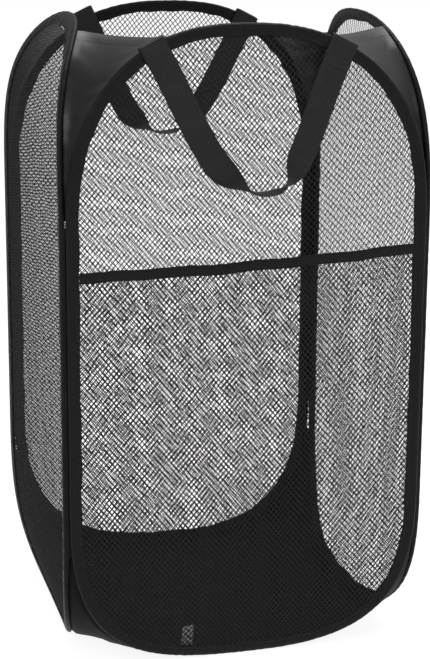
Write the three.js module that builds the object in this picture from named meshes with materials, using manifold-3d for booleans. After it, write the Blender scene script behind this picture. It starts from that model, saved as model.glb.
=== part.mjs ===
// A pop-up laundry hamper: four spring-steel hoops in sewn fabric channels, mesh walls, a mesh pocket on
// the front, solid cloth corners and base, and two webbing handles.
// Millimetres, +Z up. The front wall faces -Y, and the origin is the middle of the base's underside.

import * as THREE from 'three';
import { mergeVertices } from 'three/addons/utils/BufferGeometryUtils.js';
import Module from 'manifold-3d';

const wasm = await Module();
wasm.setup();

// Overall sizes
const HAMPER_HEIGHT = 600;
const WALL_WIDTH = 336;              // between the fold lines at two neighbouring corners
const SEWN_GAP = 0.3;                // between two pieces that are sewn or seated together
const FOLD_LINE_GAP = 0.15;          // from a wall to the fold lines that it hinges on

// A hoop's outline: straight sides between a flatter foot arc and a rounder head arc
const FOOT_ARC_HEIGHT = 165;
const HEAD_ARC_HEIGHT = 177;
const FOOT_ARC_POWER = 2.78;
const HEAD_ARC_POWER = 2.37;
const ARC_STEPS = 20;

// Each hoop's head bends inwards, because the cloth corners pull on it, and so does its foot, at the base
const BOW_POWER = 4;
const NET_EDGE_EVERY = 2;            // a net's edge takes every second point of the outline
const NET_BEND_LEAN = 3;             // lean that a net follows in one straight stretch; the count grows as its root
const FRONT_BOW = 18;
const LEFT_BOW = 40;
const BACK_BOW = 12;
const RIGHT_BOW = 16;
const FOOT_BOW = 20;

// Fabric channel, folded over the hoop wire, and the wire with its crimped joint
const CHANNEL_WIDTH = 11.5;
const CHANNEL_HALF_THICKNESS = 2.6;
const CHANNEL_EDGE_ROUND = 0.6;
const CHANNEL_FABRIC = 0.6;
const WIRE_RADIUS = 0.9;
const WIRE_SIDES = 6;
const WIRE_END_GAP = 1;
const CRIMP_WALL = 0.4;
const CRIMP_CLEARANCE = 0.2;
const CRIMP_LENGTH = 14;
const CRIMP_HEIGHT = 300;
const CRIMP_SIDES = 12;

// Mesh walls: a net whose threads run on both diagonals, drawn coarse
const NET_THICKNESS = 0.6;
const NET_GAP_WIDTH = 112;
const NET_GAP_HEIGHT = 132;
const NET_THREAD = 7;
const NET_SMALLEST_GAP_AREA = 60;
const NET_SLOT_GAP = 0.5;            // from the pocket's net to the leg of the channel beside it
const NET_HEM = 2;                   // solid strip of net between its first gaps and the channel's edge
const CUT_OVERRUN = 1;
const SAME_PLACE = 0.01;             // two points closer than this count as one

// Front pocket: a second net, sewn in round the foot of the front wall, with a bound mouth
const POCKET_MOUTH_HEIGHT = 392;     // at the wall's middle
const POCKET_MOUTH_RISE = 6.5;       // how much higher its right end is, and how much lower its left end
const POCKET_SLACK = 10;             // how far the middle of the mouth stands out
const POCKET_SLACK_START = 100;
const HEM_HEIGHT = 10;
const HEM_FABRIC = 0.4;
const HEM_STEPS = 4;

// Cloth: the four head corners and the base
const CLOTH_THICKNESS = 0.8;
const CLOTH_SEAM = 3.5;              // how far the cloth laps onto a channel
const FRONT_CORNER_HEM_DROP = 12;    // from the top of the hoops down to a front corner's hem
const BACK_CORNER_HEM_DROP = 32;
const CORNER_START = 8;              // above the top of the straight seam
const CORNER_STEPS = 8;
const BASE_THICKNESS = 1;
const BASE_FLAT_HALF = 30;           // half of the edge that lies flat under each wall
const BASE_CORNER_END = 2;
const BASE_STEPS = 9;

// Webbing handles
const STRAP_WIDTH = 25;
const STRAP_THICKNESS = 1.2;
const STRAP_GAP = 0.45;              // from a sewn end to the bent channel under it
const STRAP_SPACING = 176;           // between the middles of a handle's two sewn ends
const STRAP_SEWN_LENGTH = 25;
const STRAP_TURNED_LENGTH = 14;
const STRAP_STEPS = 22;
const FRONT_STRAP_DROP = 108;        // from the sewn ends down to the lowest point
const FRONT_STRAP_SIDEWAYS = 8;
const BACK_STRAP_DROP = 98;
const BACK_STRAP_SIDEWAYS = 4;
const STRAP_FALL = 55;               // stretch at each end that falls straight from its seam
const STRAP_ROUND = 38;
const STRAP_TWIST_START_SHARE = 0.26;
const STRAP_TWIST_END_SHARE = 0.46;

// Blank care label
const LABEL_WIDTH = 11;
const LABEL_HEIGHT = 25;
const LABEL_THICKNESS = 0.4;
const LABEL_SIDEWAYS = -54;
const LABEL_TUCK = 3;
const LABEL_STEPS = 4;

const HALF_WIDTH = WALL_WIDTH / 2;
const WALL_HALF_WIDTH = HALF_WIDTH - FOLD_LINE_GAP;
const HEAD_SPRING = HAMPER_HEIGHT - HEAD_ARC_HEIGHT;
const WALL_MIDDLE = HALF_WIDTH + FOLD_LINE_GAP + CHANNEL_HALF_THICKNESS;
const CHANNEL_SLOT = CHANNEL_HALF_THICKNESS - CHANNEL_FABRIC;
const CRIMP_RADIUS = WIRE_RADIUS + CRIMP_CLEARANCE + CRIMP_WALL;
const WIRE_INSET = CHANNEL_FABRIC + SEWN_GAP + CRIMP_RADIUS;
const NET_INSET = WIRE_INSET + CRIMP_RADIUS + CHANNEL_FABRIC;
const POCKET_OUTER_FACE = CHANNEL_SLOT - NET_SLOT_GAP;
const POCKET_INNER_FACE = POCKET_OUTER_FACE - NET_THICKNESS;
const NET_OUTER_FACE = HEM_FABRIC + 2 * SEWN_GAP - POCKET_INNER_FACE;
const HEM_LOW_EDGE = POCKET_MOUTH_HEIGHT - HEM_HEIGHT;
const HEM_END = WALL_HALF_WIDTH - CHANNEL_WIDTH - SEWN_GAP;

const WALLS = [
  { name: 'front', turn: 0, bow: FRONT_BOW },
  { name: 'right', turn: Math.PI / 2, bow: RIGHT_BOW },
  { name: 'back', turn: Math.PI, bow: BACK_BOW },
  { name: 'left', turn: -Math.PI / 2, bow: LEFT_BOW },
];

const finish = (color, roughness, metalness = 0) => () => (
  new THREE.MeshStandardMaterial({ color, roughness, metalness, side: THREE.DoubleSide }));
const springSteel = finish(0x8a8d90, 0.35, 1);
const crimpSteel = finish(0x9b9ea1, 0.45, 1);
const channelFabric = finish(0x141416, 0.8);
const meshFabric = finish(0x2a2a2c, 0.85);
const nylonCloth = finish(0x121214, 0.5);
const webbing = finish(0x17171a, 0.75);
const labelCloth = finish(0xb9b9b6, 0.9);

// Half of a hoop's width where its outline is at height z
function halfWidthAt(z) {
  if (z > HEAD_SPRING) {
    const share = Math.min((z - HEAD_SPRING) / HEAD_ARC_HEIGHT, 1);
    return WALL_HALF_WIDTH * (1 - share ** HEAD_ARC_POWER) ** (1 / HEAD_ARC_POWER);
  }
  if (z < FOOT_ARC_HEIGHT) {
    const share = Math.min((FOOT_ARC_HEIGHT - z) / FOOT_ARC_HEIGHT, 1);
    return WALL_HALF_WIDTH * (1 - share ** FOOT_ARC_POWER) ** (1 / FOOT_ARC_POWER);
  }
  return WALL_HALF_WIDTH;
}

// Height of the head arc and of the foot arc at a distance from a wall's middle
function headHeightAt(distance) {
  const share = Math.abs(distance) / WALL_HALF_WIDTH;
  return HEAD_SPRING + HEAD_ARC_HEIGHT * (1 - share ** HEAD_ARC_POWER) ** (1 / HEAD_ARC_POWER);
}

function footHeightAt(distance) {
  const share = Math.abs(distance) / WALL_HALF_WIDTH;
  return FOOT_ARC_HEIGHT * (1 - (1 - share ** FOOT_ARC_POWER) ** (1 / FOOT_ARC_POWER));
}

// How far a wall leans inwards at height z
function bowAt(z, headBow) {
  const head = Math.max((z - HEAD_SPRING) / HEAD_ARC_HEIGHT, 0);
  const foot = Math.max((FOOT_ARC_HEIGHT - z) / FOOT_ARC_HEIGHT, 0);
  return headBow * head ** BOW_POWER + FOOT_BOW * foot ** BOW_POWER;
}

// Points along one arc of the outline, and the whole outline anticlockwise from its lower right
function arcPoints(middleHeight, height, power) {
  const points = [];
  for (let step = 0; step <= ARC_STEPS; step++) {
    const angle = Math.PI * step / ARC_STEPS;
    const across = Math.cos(angle);
    const up = step === ARC_STEPS ? 0 : Math.sin(angle);
    points.push(new THREE.Vector2(
      WALL_HALF_WIDTH * Math.sign(across) * Math.abs(across) ** (2 / power),
      middleHeight + height * up ** (2 / power)));
  }
  return points;
}

const HEAD_POINTS = arcPoints(HEAD_SPRING, HEAD_ARC_HEIGHT, HEAD_ARC_POWER);
const FOOT_POINTS = arcPoints(FOOT_ARC_HEIGHT, -FOOT_ARC_HEIGHT, FOOT_ARC_POWER).reverse();
const OUTLINE = [...HEAD_POINTS, ...FOOT_POINTS];

// Direction into the wall at each point of the outline
const INWARDS = OUTLINE.map((point, index) => {
  const before = OUTLINE.at(index - 1);
  const after = OUTLINE[(index + 1) % OUTLINE.length];
  const along = after.clone().sub(before).normalize();
  return new THREE.Vector2(-along.y, along.x);
});

// The outline moved into the wall, with every point of its arcs or only every few
const insetOutline = (inset, every = 1) => (
  OUTLINE.map((point, index) => point.clone().addScaledVector(INWARDS[index], inset)).filter(
    (point, index) => index % (ARC_STEPS + 1) % every === 0));

// A point of a wall: across it, up it and through it, where inwards is positive
function wallPoint(across, up, through, bow) {
  return new THREE.Vector3(across, -WALL_MIDDLE + through + bowAt(up, bow), up);
}

// Merges shared vertices and turns the faces of a closed mesh outwards
function facingOut(geometry) {
  const merged = mergeVertices(geometry);
  const place = merged.attributes.position;
  const corner = (index) => new THREE.Vector3().fromBufferAttribute(place, merged.index.array[index]);
  let volume = 0;
  for (let face = 0; face < merged.index.count; face += 3) {
    volume += corner(face).dot(corner(face + 1).cross(corner(face + 2)));
  }
  if (volume < 0) merged.setIndex([...merged.index.array].reverse());
  merged.computeVertexNormals();
  return merged;
}

// A closed mesh from points and faces
function closedGeometry(points, faces) {
  const corners = faces.flat();
  const position = new Float32Array(corners.length * 3);
  corners.forEach((corner, index) => points[corner].toArray(position, index * 3));
  const geometry = new THREE.BufferGeometry();
  geometry.setAttribute('position', new THREE.BufferAttribute(position, 3));
  return facingOut(geometry);
}

// A flat outline made thick, as a solid that can be cut
function plateSolid(outline, low, high) {
  const plate = new THREE.ExtrudeGeometry(
    new THREE.Shape(outline), { depth: high - low, bevelEnabled: false, steps: 1 });
  plate.deleteAttribute('normal');
  plate.deleteAttribute('uv');
  plate.translate(0, 0, low);
  const merged = mergeVertices(plate);
  return new wasm.Manifold(new wasm.Mesh({
    numProp: 3,
    vertProperties: new Float32Array(merged.attributes.position.array),
    triVerts: new Uint32Array(merged.index.array),
  }));
}

// Splits the faces of a flat net where they cross a line, x or y = value, so that the net can bend there
function splitAcross(points, faces, axis, value) {
  const middles = new Map();
  const crossing = (from, to) => {
    const key = `${Math.min(from, to)} ${Math.max(from, to)}`;
    if (!middles.has(key)) {
      const [low, high] = from < to ? [points[from], points[to]] : [points[to], points[from]];
      const middle = low.clone().lerp(high, (value - low[axis]) / (high[axis] - low[axis]));
      middles.set(key, points.push(middle) - 1);
    }
    return middles.get(key);
  };
  return faces.flatMap((face) => {
    const sides = face.map((corner) => Math.sign(Math.round((points[corner][axis] - value) / SAME_PLACE)));
    if (!(sides.includes(1) && sides.includes(-1))) return [face];
    const alone = sides.findIndex((side, corner) => (
      side !== 0 && sides.every((other, place) => place === corner || other !== side)));
    const [tip, next, last] = [0, 1, 2].map((step) => face[(alone + step) % 3]);
    const [nextSide, lastSide] = [1, 2].map((step) => sides[(alone + step) % 3]);
    if (nextSide === 0) return [[tip, next, crossing(last, tip)], [next, last, crossing(last, tip)]];
    if (lastSide === 0) return [[tip, crossing(tip, next), last], [crossing(tip, next), next, last]];
    const near = crossing(tip, next);
    const far = crossing(last, tip);
    return [[tip, near, far], [near, next, last], [near, last, far]];
  });
}

// A net cut from a flat outline, with each of its points (across, up, through) then put in its place
function netPlate(outline, gaps, bends, place) {
  const cuts = gaps.map((gap) => plateSolid(gap, -CUT_OVERRUN, NET_THICKNESS + CUT_OVERRUN));
  const plate = plateSolid(outline, 0, NET_THICKNESS);
  const net = cuts.reduce((solid, cut) => solid.subtract(cut), plate).getMesh();
  const points = [];
  for (let index = 0; index < net.vertProperties.length; index += 3) {
    points.push(new THREE.Vector3(...net.vertProperties.slice(index, index + 3)));
  }
  let faces = [];
  for (let index = 0; index < net.triVerts.length; index += 3) {
    faces.push([...net.triVerts.slice(index, index + 3)]);
  }
  for (const [axis, value] of bends) faces = splitAcross(points, faces, axis, value);
  return closedGeometry(points.map((point) => place(point.x, point.y, point.z)), faces);
}

// Skins a row of like sections. profile is one section drawn flat, and closes the row's ends.
// Without it the row is a ring
function loft(sections, profile = null) {
  const count = sections[0].length;
  const rows = profile ? sections.length - 1 : sections.length;
  const faces = [];
  for (let row = 0; row < rows; row++) {
    const here = row * count;
    const next = ((row + 1) % sections.length) * count;
    for (let side = 0; side < count; side++) {
      const beside = (side + 1) % count;
      faces.push([here + side, here + beside, next + side], [here + beside, next + beside, next + side]);
    }
  }
  if (profile) {
    const last = rows * count;
    const drawn = THREE.ShapeUtils.triangulateShape(profile, []);
    const lids = THREE.ShapeUtils.area(profile) > 0 ? drawn : drawn.map(([a, b, c]) => [c, b, a]);
    for (const [a, b, c] of lids) faces.push([c, b, a], [last + a, last + b, last + c]);
  }
  return closedGeometry(sections.flat(), faces);
}

// The part of a convex or plain outline that lies inside a convex one, both drawn anticlockwise
function clipOutline(outline, convex) {
  let kept = outline;
  convex.forEach((from, index) => {
    const to = convex[(index + 1) % convex.length];
    const side = (point) => (to.x - from.x) * (point.y - from.y) - (to.y - from.y) * (point.x - from.x);
    const next = [];
    kept.forEach((point, place) => {
      const after = kept[(place + 1) % kept.length];
      const here = side(point);
      const there = side(after);
      if (here >= 0) next.push(point);
      if (here * there < 0) next.push(point.clone().lerp(after, here / (here - there)));
    });
    kept = next;
  });
  return kept.filter((point, place) => point.distanceTo(kept[(place + 1) % kept.length]) > SAME_PLACE);
}

const mesh = (name, geometry, material) => {
  const piece = new THREE.Mesh(geometry, material());
  piece.name = name;
  return piece;
};

// Fabric channel: a strip folded round the wire, with the net's edge between its two legs
function channelGeometry(bow) {
  const slotStart = 2 * CHANNEL_FABRIC + SEWN_GAP;
  const half = CHANNEL_HALF_THICKNESS;
  const outer = [[CHANNEL_WIDTH, half], [CHANNEL_EDGE_ROUND, half], [0, half - CHANNEL_EDGE_ROUND]];
  const inner = [[CHANNEL_FABRIC, CHANNEL_SLOT - CHANNEL_EDGE_ROUND], [slotStart, CHANNEL_SLOT],
    [CHANNEL_WIDTH, CHANNEL_SLOT]];
  const mirrored = (side) => side.map(([inset, through]) => [inset, -through]).reverse();
  const section = [...outer, ...mirrored(outer), ...mirrored(inner), ...inner];
  return loft(OUTLINE.map((point, index) => section.map(([inset, through]) => {
    const at = point.clone().addScaledVector(INWARDS[index], inset);
    return wallPoint(at.x, at.y, through, bow);
  })));
}

// Spring wire: one length bent round the outline, whose two ends meet inside the crimp
function wireGeometry(bow) {
  const circle = [];
  for (let side = 0; side < WIRE_SIDES; side++) {
    const angle = 2 * Math.PI * side / WIRE_SIDES;
    circle.push(new THREE.Vector2(WIRE_RADIUS * Math.cos(angle), WIRE_RADIUS * Math.sin(angle)));
  }
  const section = (point, inwards) => circle.map((offset) => {
    const at = point.clone().addScaledVector(inwards, WIRE_INSET + offset.x);
    return wallPoint(at.x, at.y, offset.y, bow);
  });
  const end = (height) => section(new THREE.Vector2(WALL_HALF_WIDTH, height), new THREE.Vector2(-1, 0));
  const round = OUTLINE.map((point, index) => section(point, INWARDS[index]));
  const first = end(CRIMP_HEIGHT + WIRE_END_GAP / 2);
  const last = end(CRIMP_HEIGHT - WIRE_END_GAP / 2);
  return loft([first, ...round, last], circle);
}

// Crimp: a short steel tube over both ends of the wire, inside the channel's straight side
function crimpGeometry() {
  const bore = WIRE_RADIUS + CRIMP_CLEARANCE;
  const half = CRIMP_LENGTH / 2;
  const corners = [[bore, -half], [CRIMP_RADIUS, -half], [CRIMP_RADIUS, half], [bore, half], [bore, -half]];
  const profile = corners.map(([radius, along]) => new THREE.Vector2(radius, along));
  const tube = new THREE.LatheGeometry(profile, CRIMP_SIDES);
  tube.deleteAttribute('normal');
  tube.deleteAttribute('uv');
  tube.rotateX(Math.PI / 2);
  const place = wallPoint(WALL_HALF_WIDTH - WIRE_INSET, CRIMP_HEIGHT, 0, 0);
  tube.translate(place.x, place.y, place.z);
  return facingOut(tube);
}

// The gaps of a net that lie inside a convex limit
function netGaps(limit) {
  const halfWidth = NET_GAP_WIDTH / 2;
  const halfHeight = NET_GAP_HEIGHT / 2;
  const open = 1 - NET_THREAD / 2 * Math.hypot(halfWidth, halfHeight) / (halfWidth * halfHeight);
  const gaps = [];
  const rows = Math.ceil(HAMPER_HEIGHT / halfHeight);
  const columns = Math.ceil(WALL_WIDTH / NET_GAP_WIDTH);
  for (let row = 0; row <= rows; row++) {
    for (let column = -columns; column <= columns; column++) {
      const across = (column + row % 2 / 2) * NET_GAP_WIDTH;
      const up = row * halfHeight;
      const diamond = [[1, 0], [0, 1], [-1, 0], [0, -1]].map(([right, above]) => new THREE.Vector2(
        across + right * open * halfWidth, up + above * open * halfHeight));
      const gap = clipOutline(diamond, limit);
      if (gap.length > 2 && THREE.ShapeUtils.area(gap) > NET_SMALLEST_GAP_AREA) gaps.push(gap);
    }
  }
  return gaps;
}

// Heights at which a net bends to follow the lean of a wall's foot or head, in straight stretches
function leanBends(springing, arcHeight, lean) {
  const stretches = Math.ceil(Math.sqrt(lean / NET_BEND_LEAN));
  return Array.from({ length: stretches }, (_, stretch) => (
    ['y', springing + arcHeight * Math.sqrt(stretch / stretches)]));
}

const FOOT_BENDS = leanBends(FOOT_ARC_HEIGHT, -FOOT_ARC_HEIGHT, FOOT_BOW);

// Mesh wall: a stretched net whose edge lies in the channel's slot
function netGeometry(bow) {
  const gaps = netGaps(insetOutline(CHANNEL_WIDTH + NET_HEM, NET_EDGE_EVERY));
  const edge = insetOutline(NET_INSET, NET_EDGE_EVERY);
  const bends = [...FOOT_BENDS, ...leanBends(HEAD_SPRING, HEAD_ARC_HEIGHT, bow)];
  return netPlate(edge, gaps, bends, (across, up, depth) => (
    wallPoint(across, up, NET_OUTER_FACE + depth, bow)));
}

// How far the slack pocket stands out from the wall, straight between the places where its hem bends
function slackAt(across, up) {
  const rise = THREE.MathUtils.clamp((up - POCKET_SLACK_START) / (HEM_LOW_EDGE - POCKET_SLACK_START), 0, 1);
  const curved = (step) => 1 - (2 * step / HEM_STEPS - 1) ** 2;
  const place = THREE.MathUtils.clamp((across / HEM_END + 1) * HEM_STEPS / 2, 0, HEM_STEPS);
  const before = Math.floor(place);
  const bulge = THREE.MathUtils.lerp(curved(before), curved(Math.ceil(place)), place - before);
  return POCKET_SLACK * bulge * rise ** 2;
}

// How much higher a place of the pocket is because its mouth isn't level
function mouthRiseAt(across, up) {
  const share = (up - FOOT_ARC_HEIGHT) / (HEM_LOW_EDGE - FOOT_ARC_HEIGHT);
  return POCKET_MOUTH_RISE * across / HEM_END * THREE.MathUtils.clamp(share, 0, 1);
}

// Places along the mouth of the pocket where its hem and its net bend alike
function hemPlaces() {
  const places = [];
  for (let step = 0; step <= HEM_STEPS; step++) {
    places.push(THREE.MathUtils.lerp(-HEM_END, HEM_END, step / HEM_STEPS));
  }
  return places;
}

// Everything below a height, as an outline wider than the wall
function below(height) {
  const corners = [[-1, -WALL_WIDTH], [1, -WALL_WIDTH], [1, height], [-1, height]];
  return corners.map(([side, up]) => new THREE.Vector2(side * WALL_WIDTH, up));
}

function pocketGeometry(bow) {
  const edge = clipOutline(
    insetOutline(NET_INSET, NET_EDGE_EVERY), below(POCKET_MOUTH_HEIGHT - HEM_FABRIC - SEWN_GAP));
  const limit = clipOutline(
    insetOutline(CHANNEL_WIDTH + NET_HEM, NET_EDGE_EVERY), below(HEM_LOW_EDGE - NET_HEM));
  const bends = [...FOOT_BENDS, ['y', HEM_LOW_EDGE], ...hemPlaces().map((across) => ['x', across])];
  return netPlate(edge, netGaps(limit), bends, (across, up, depth) => wallPoint(
    across, up + mouthRiseAt(across, up), depth - POCKET_OUTER_FACE - slackAt(across, up), bow));
}

// Bound mouth of the pocket: a tape folded over the net's top edge
function pocketHemGeometry(bow) {
  const near = POCKET_INNER_FACE - SEWN_GAP;
  const far = POCKET_OUTER_FACE + SEWN_GAP;
  const outside = [[-far - HEM_FABRIC, -HEM_HEIGHT], [-far, -HEM_HEIGHT], [-far, -HEM_FABRIC]];
  const inside = [[-near, -HEM_FABRIC], [-near, -HEM_HEIGHT], [HEM_FABRIC - near, -HEM_HEIGHT]];
  const fold = [[HEM_FABRIC - near, 0], [-far - HEM_FABRIC, 0]];
  const section = [...outside, ...inside, ...fold].map(([through, up]) => new THREE.Vector2(through, up));
  const sections = hemPlaces().map((across) => {
    const height = POCKET_MOUTH_HEIGHT + mouthRiseAt(across, POCKET_MOUTH_HEIGHT);
    const slack = slackAt(across, POCKET_MOUTH_HEIGHT);
    return section.map((point) => wallPoint(across, height + point.y, point.x - slack, bow));
  });
  return loft(sections, section);
}

// Head corner: cloth stretched in straight lines from a wall's left head arc to the next wall's right one.
// A front corner's hem is higher, and passes over the turned leg of the front handle's sewn end
function cornerGeometry(wall, next) {
  const inside = -WALL_MIDDLE + CHANNEL_HALF_THICKNESS + SEWN_GAP + CLOTH_THICKNESS;
  const start = HEAD_SPRING + CORNER_START;
  const inFront = [wall, next].some(({ name }) => name === 'front');
  const hemHeight = HAMPER_HEIGHT - (inFront ? FRONT_CORNER_HEM_DROP : BACK_CORNER_HEM_DROP);
  const strapTop = headHeightAt((STRAP_SPACING + STRAP_WIDTH) / 2);
  const throughAt = (up, { name, bow }) => {
    const over = name === 'front' ? STRAP_GAP + STRAP_THICKNESS : 0;
    const share = THREE.MathUtils.smoothstep(up, strapTop - STRAP_TURNED_LENGTH, strapTop);
    return inside + bowAt(up, bow) + over * share;
  };
  const ends = [];
  for (let step = 0; step <= CORNER_STEPS; step++) {
    const up = THREE.MathUtils.lerp(start, hemHeight, Math.sin(Math.PI / 2 * step / CORNER_STEPS));
    const along = -halfWidthAt(up) + CLOTH_SEAM;
    ends.push([new THREE.Vector3(along, throughAt(up, wall), up),
      new THREE.Vector3(throughAt(up, next), along, up)]);
  }
  const middles = ends.map(([near, far]) => near.clone().lerp(far, 1 / 2));
  const sections = ends.map(([near, far], index) => {
    const rise = middles[Math.min(index + 1, CORNER_STEPS)].clone().sub(middles[Math.max(index - 1, 0)]);
    const normal = far.clone().sub(near).cross(rise).normalize().multiplyScalar(CLOTH_THICKNESS / 2);
    return [
      near.clone().sub(normal), near.clone().add(normal), far.clone().add(normal), far.clone().sub(normal)];
  });
  const profile = [[0, 0], [0, 1], [1, 1], [1, 0]].map(([x, y]) => new THREE.Vector2(x, y));
  return loft(sections, profile);
}

const UPWARDS = new THREE.Vector3(0, 0, 1);

// Base: one cloth, flat in the middle, whose corners rise with the foot arcs of the four hoops
function baseGeometry() {
  const edge = HALF_WIDTH + FOLD_LINE_GAP - SEWN_GAP;
  const end = WALL_HALF_WIDTH - BASE_CORNER_END;
  const levels = [];
  for (let step = 0; step <= BASE_STEPS; step++) {
    levels.push(THREE.MathUtils.lerp(BASE_FLAT_HALF, end, Math.sin(Math.PI / 2 * step / BASE_STEPS)));
  }
  const under = [];
  const over = [];
  for (let corner = 0; corner < WALLS.length; corner++) {
    levels.forEach((along, step) => {
      const up = footHeightAt(along) - footHeightAt(BASE_FLAT_HALF);
      const next = levels[Math.min(step + 1, BASE_STEPS)];
      const last = levels[Math.max(step - 1, 0)];
      const slope = step === 0 ? 0 : (footHeightAt(next) - footHeightAt(last)) / (next - last);
      const normal = new THREE.Vector3(slope, slope, 1).normalize().multiplyScalar(BASE_THICKNESS);
      const rim = bowAt(footHeightAt(along), 0) - edge;
      for (const [x, y] of [[-along, rim], [rim, -along]]) {
        const spot = new THREE.Vector3(x, y, up);
        const turn = Math.PI / 2 * corner;
        under.push(spot.clone().applyAxisAngle(UPWARDS, turn));
        over.push(spot.add(normal).applyAxisAngle(UPWARDS, turn));
      }
    });
  }
  const perCorner = 2 * levels.length;
  const near = (corner, step) => corner % WALLS.length * perCorner + 2 * step;
  const far = (corner, step) => near(corner, step) + 1;
  const top = [];
  const border = [];
  const flat = [];
  for (let corner = 0; corner < WALLS.length; corner++) {
    flat.push(near(corner, 0), far(corner + 1, 0));
    for (let step = 0; step < BASE_STEPS; step++) {
      top.push([near(corner, step), far(corner, step), far(corner, step + 1)],
        [near(corner, step), far(corner, step + 1), near(corner, step + 1)]);
    }
    for (let step = BASE_STEPS; step >= 0; step--) border.push(near(corner, step));
    for (let step = 0; step <= BASE_STEPS; step++) border.push(far(corner + 1, step));
  }
  for (let place = 1; place < flat.length - 1; place++) top.push([flat[0], flat[place], flat[place + 1]]);
  const faces = [];
  for (const [a, b, c] of top) faces.push([c, b, a], [a + under.length, b + under.length, c + under.length]);
  border.forEach((from, place) => {
    const to = border[(place + 1) % border.length];
    faces.push([from, to, to + under.length], [from, to + under.length, from + under.length]);
  });
  return closedGeometry([...under, ...over], faces);
}

// Where a strap crosses the head arc: the arc's point, its direction, and the way into the wall
function headFrame(across) {
  const share = Math.abs(across) / WALL_HALF_WIDTH;
  const slope = -Math.sign(across) * HEAD_ARC_HEIGHT / WALL_HALF_WIDTH * share ** (HEAD_ARC_POWER - 1)
    * (1 - share ** HEAD_ARC_POWER) ** (1 / HEAD_ARC_POWER - 1);
  const along = new THREE.Vector2(1, slope).normalize();
  const point = new THREE.Vector2(across, headHeightAt(across));
  return { point, along, inwards: new THREE.Vector2(along.y, -along.x) };
}

const STRAP_NEAR_FACE = CHANNEL_HALF_THICKNESS + STRAP_GAP;
const STRAP_FAR_FACE = STRAP_NEAR_FACE + STRAP_THICKNESS;

// Sewn end of a handle: webbing folded over the channel, its longer leg on the side where the loop hangs
function strapEndGeometry(across, side, bow) {
  const legs = [[STRAP_SEWN_LENGTH, side], [STRAP_SEWN_LENGTH / 2, side], [0, side],
    [0, -side], [STRAP_TURNED_LENGTH, -side]];
  const far = legs.map(([inset, face]) => [
    inset || -SEWN_GAP - STRAP_THICKNESS, face * STRAP_FAR_FACE]);
  const near = legs.map(([inset, face]) => [inset || -SEWN_GAP, face * STRAP_NEAR_FACE]).reverse();
  const profile = [...far, ...near].map(([inset, through]) => new THREE.Vector2(inset, through));
  const { point, along, inwards } = headFrame(across);
  const sections = [-STRAP_WIDTH / 2, STRAP_WIDTH / 2].map((sideways) => profile.map((corner) => {
    const at = point.clone().addScaledVector(along, sideways).addScaledVector(inwards, corner.x);
    return wallPoint(at.x, at.y, corner.y, bow);
  }));
  return loft(sections, profile);
}

// Hanging loop of a handle: flat against the wall at its sewn ends, and edge on at its lowest point
function strapLoopGeometry(side, drop, sideways, bow) {
  const left = headFrame(-STRAP_SPACING / 2);
  const right = headFrame(STRAP_SPACING / 2);
  const seam = STRAP_SEWN_LENGTH + SEWN_GAP;
  const start = left.point.clone().addScaledVector(left.inwards, seam);
  const end = right.point.clone().addScaledVector(right.inwards, seam);
  const lowest = new THREE.Vector2(sideways, start.y - drop);
  const round = new THREE.Vector2(STRAP_ROUND, 0);
  const fall = new THREE.CubicBezierCurve(
    start, start.clone().addScaledVector(left.inwards, STRAP_FALL), lowest.clone().sub(round), lowest);
  const rise = new THREE.CubicBezierCurve(
    lowest, lowest.clone().add(round), end.clone().addScaledVector(right.inwards, STRAP_FALL), end);
  const sections = [];
  for (let step = 0; step <= STRAP_STEPS; step++) {
    const share = step / STRAP_STEPS;
    const curve = share < 1 / 2 ? fall : rise;
    const place = share < 1 / 2 ? 2 * share : 2 * share - 1;
    const point = curve.getPoint(place);
    const along = curve.getTangent(place);
    const turned = THREE.MathUtils.smoothstep(
      Math.min(share, 1 - share), STRAP_TWIST_START_SHARE, STRAP_TWIST_END_SHARE) * Math.PI / 2;
    const middle = side * (STRAP_NEAR_FACE + STRAP_THICKNESS / 2 + STRAP_WIDTH / 2 * Math.sin(turned));
    sections.push([[1, 1], [-1, 1], [-1, -1], [1, -1]].map(([across, through]) => {
      const wide = across * STRAP_WIDTH / 2;
      const thick = through * STRAP_THICKNESS / 2;
      const flat = wide * Math.cos(turned) - thick * Math.sin(turned);
      const deep = wide * Math.sin(turned) + thick * Math.cos(turned);
      return wallPoint(point.x - along.y * flat, point.y + along.x * flat, middle + side * deep, bow);
    }));
  }
  const profile = [[1, 1], [-1, 1], [-1, -1], [1, -1]].map(([x, y]) => new THREE.Vector2(x, y));
  return loft(sections, profile);
}

// Blank label, caught at the inner leg of the front channel and leaning with the wall
function labelGeometry(bow) {
  const low = footHeightAt(LABEL_SIDEWAYS) + CHANNEL_WIDTH - LABEL_TUCK;
  const near = CHANNEL_HALF_THICKNESS + SEWN_GAP;
  const half = LABEL_WIDTH / 2;
  const far = near + LABEL_THICKNESS;
  const profile = [[-half, near], [half, near], [half, far], [-half, far]].map(
    ([sideways, through]) => new THREE.Vector2(sideways, through));
  const sections = [];
  for (let step = 0; step <= LABEL_STEPS; step++) {
    const up = low + LABEL_HEIGHT * step / LABEL_STEPS;
    sections.push(profile.map((corner) => wallPoint(LABEL_SIDEWAYS + corner.x, up, corner.y, bow)));
  }
  return loft(sections, profile);
}

const hamper = new THREE.Group();
// side is -1 where a handle hangs outside its wall and 1 where it hangs inside
const HANDLES = {
  front: { side: -1, drop: FRONT_STRAP_DROP, sideways: FRONT_STRAP_SIDEWAYS, ends: ['left', 'right'] },
  back: { side: 1, drop: BACK_STRAP_DROP, sideways: BACK_STRAP_SIDEWAYS, ends: ['right', 'left'] },
};
const CORNER_NAMES = { front: 'front_left', right: 'front_right', back: 'back_right', left: 'back_left' };

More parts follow.
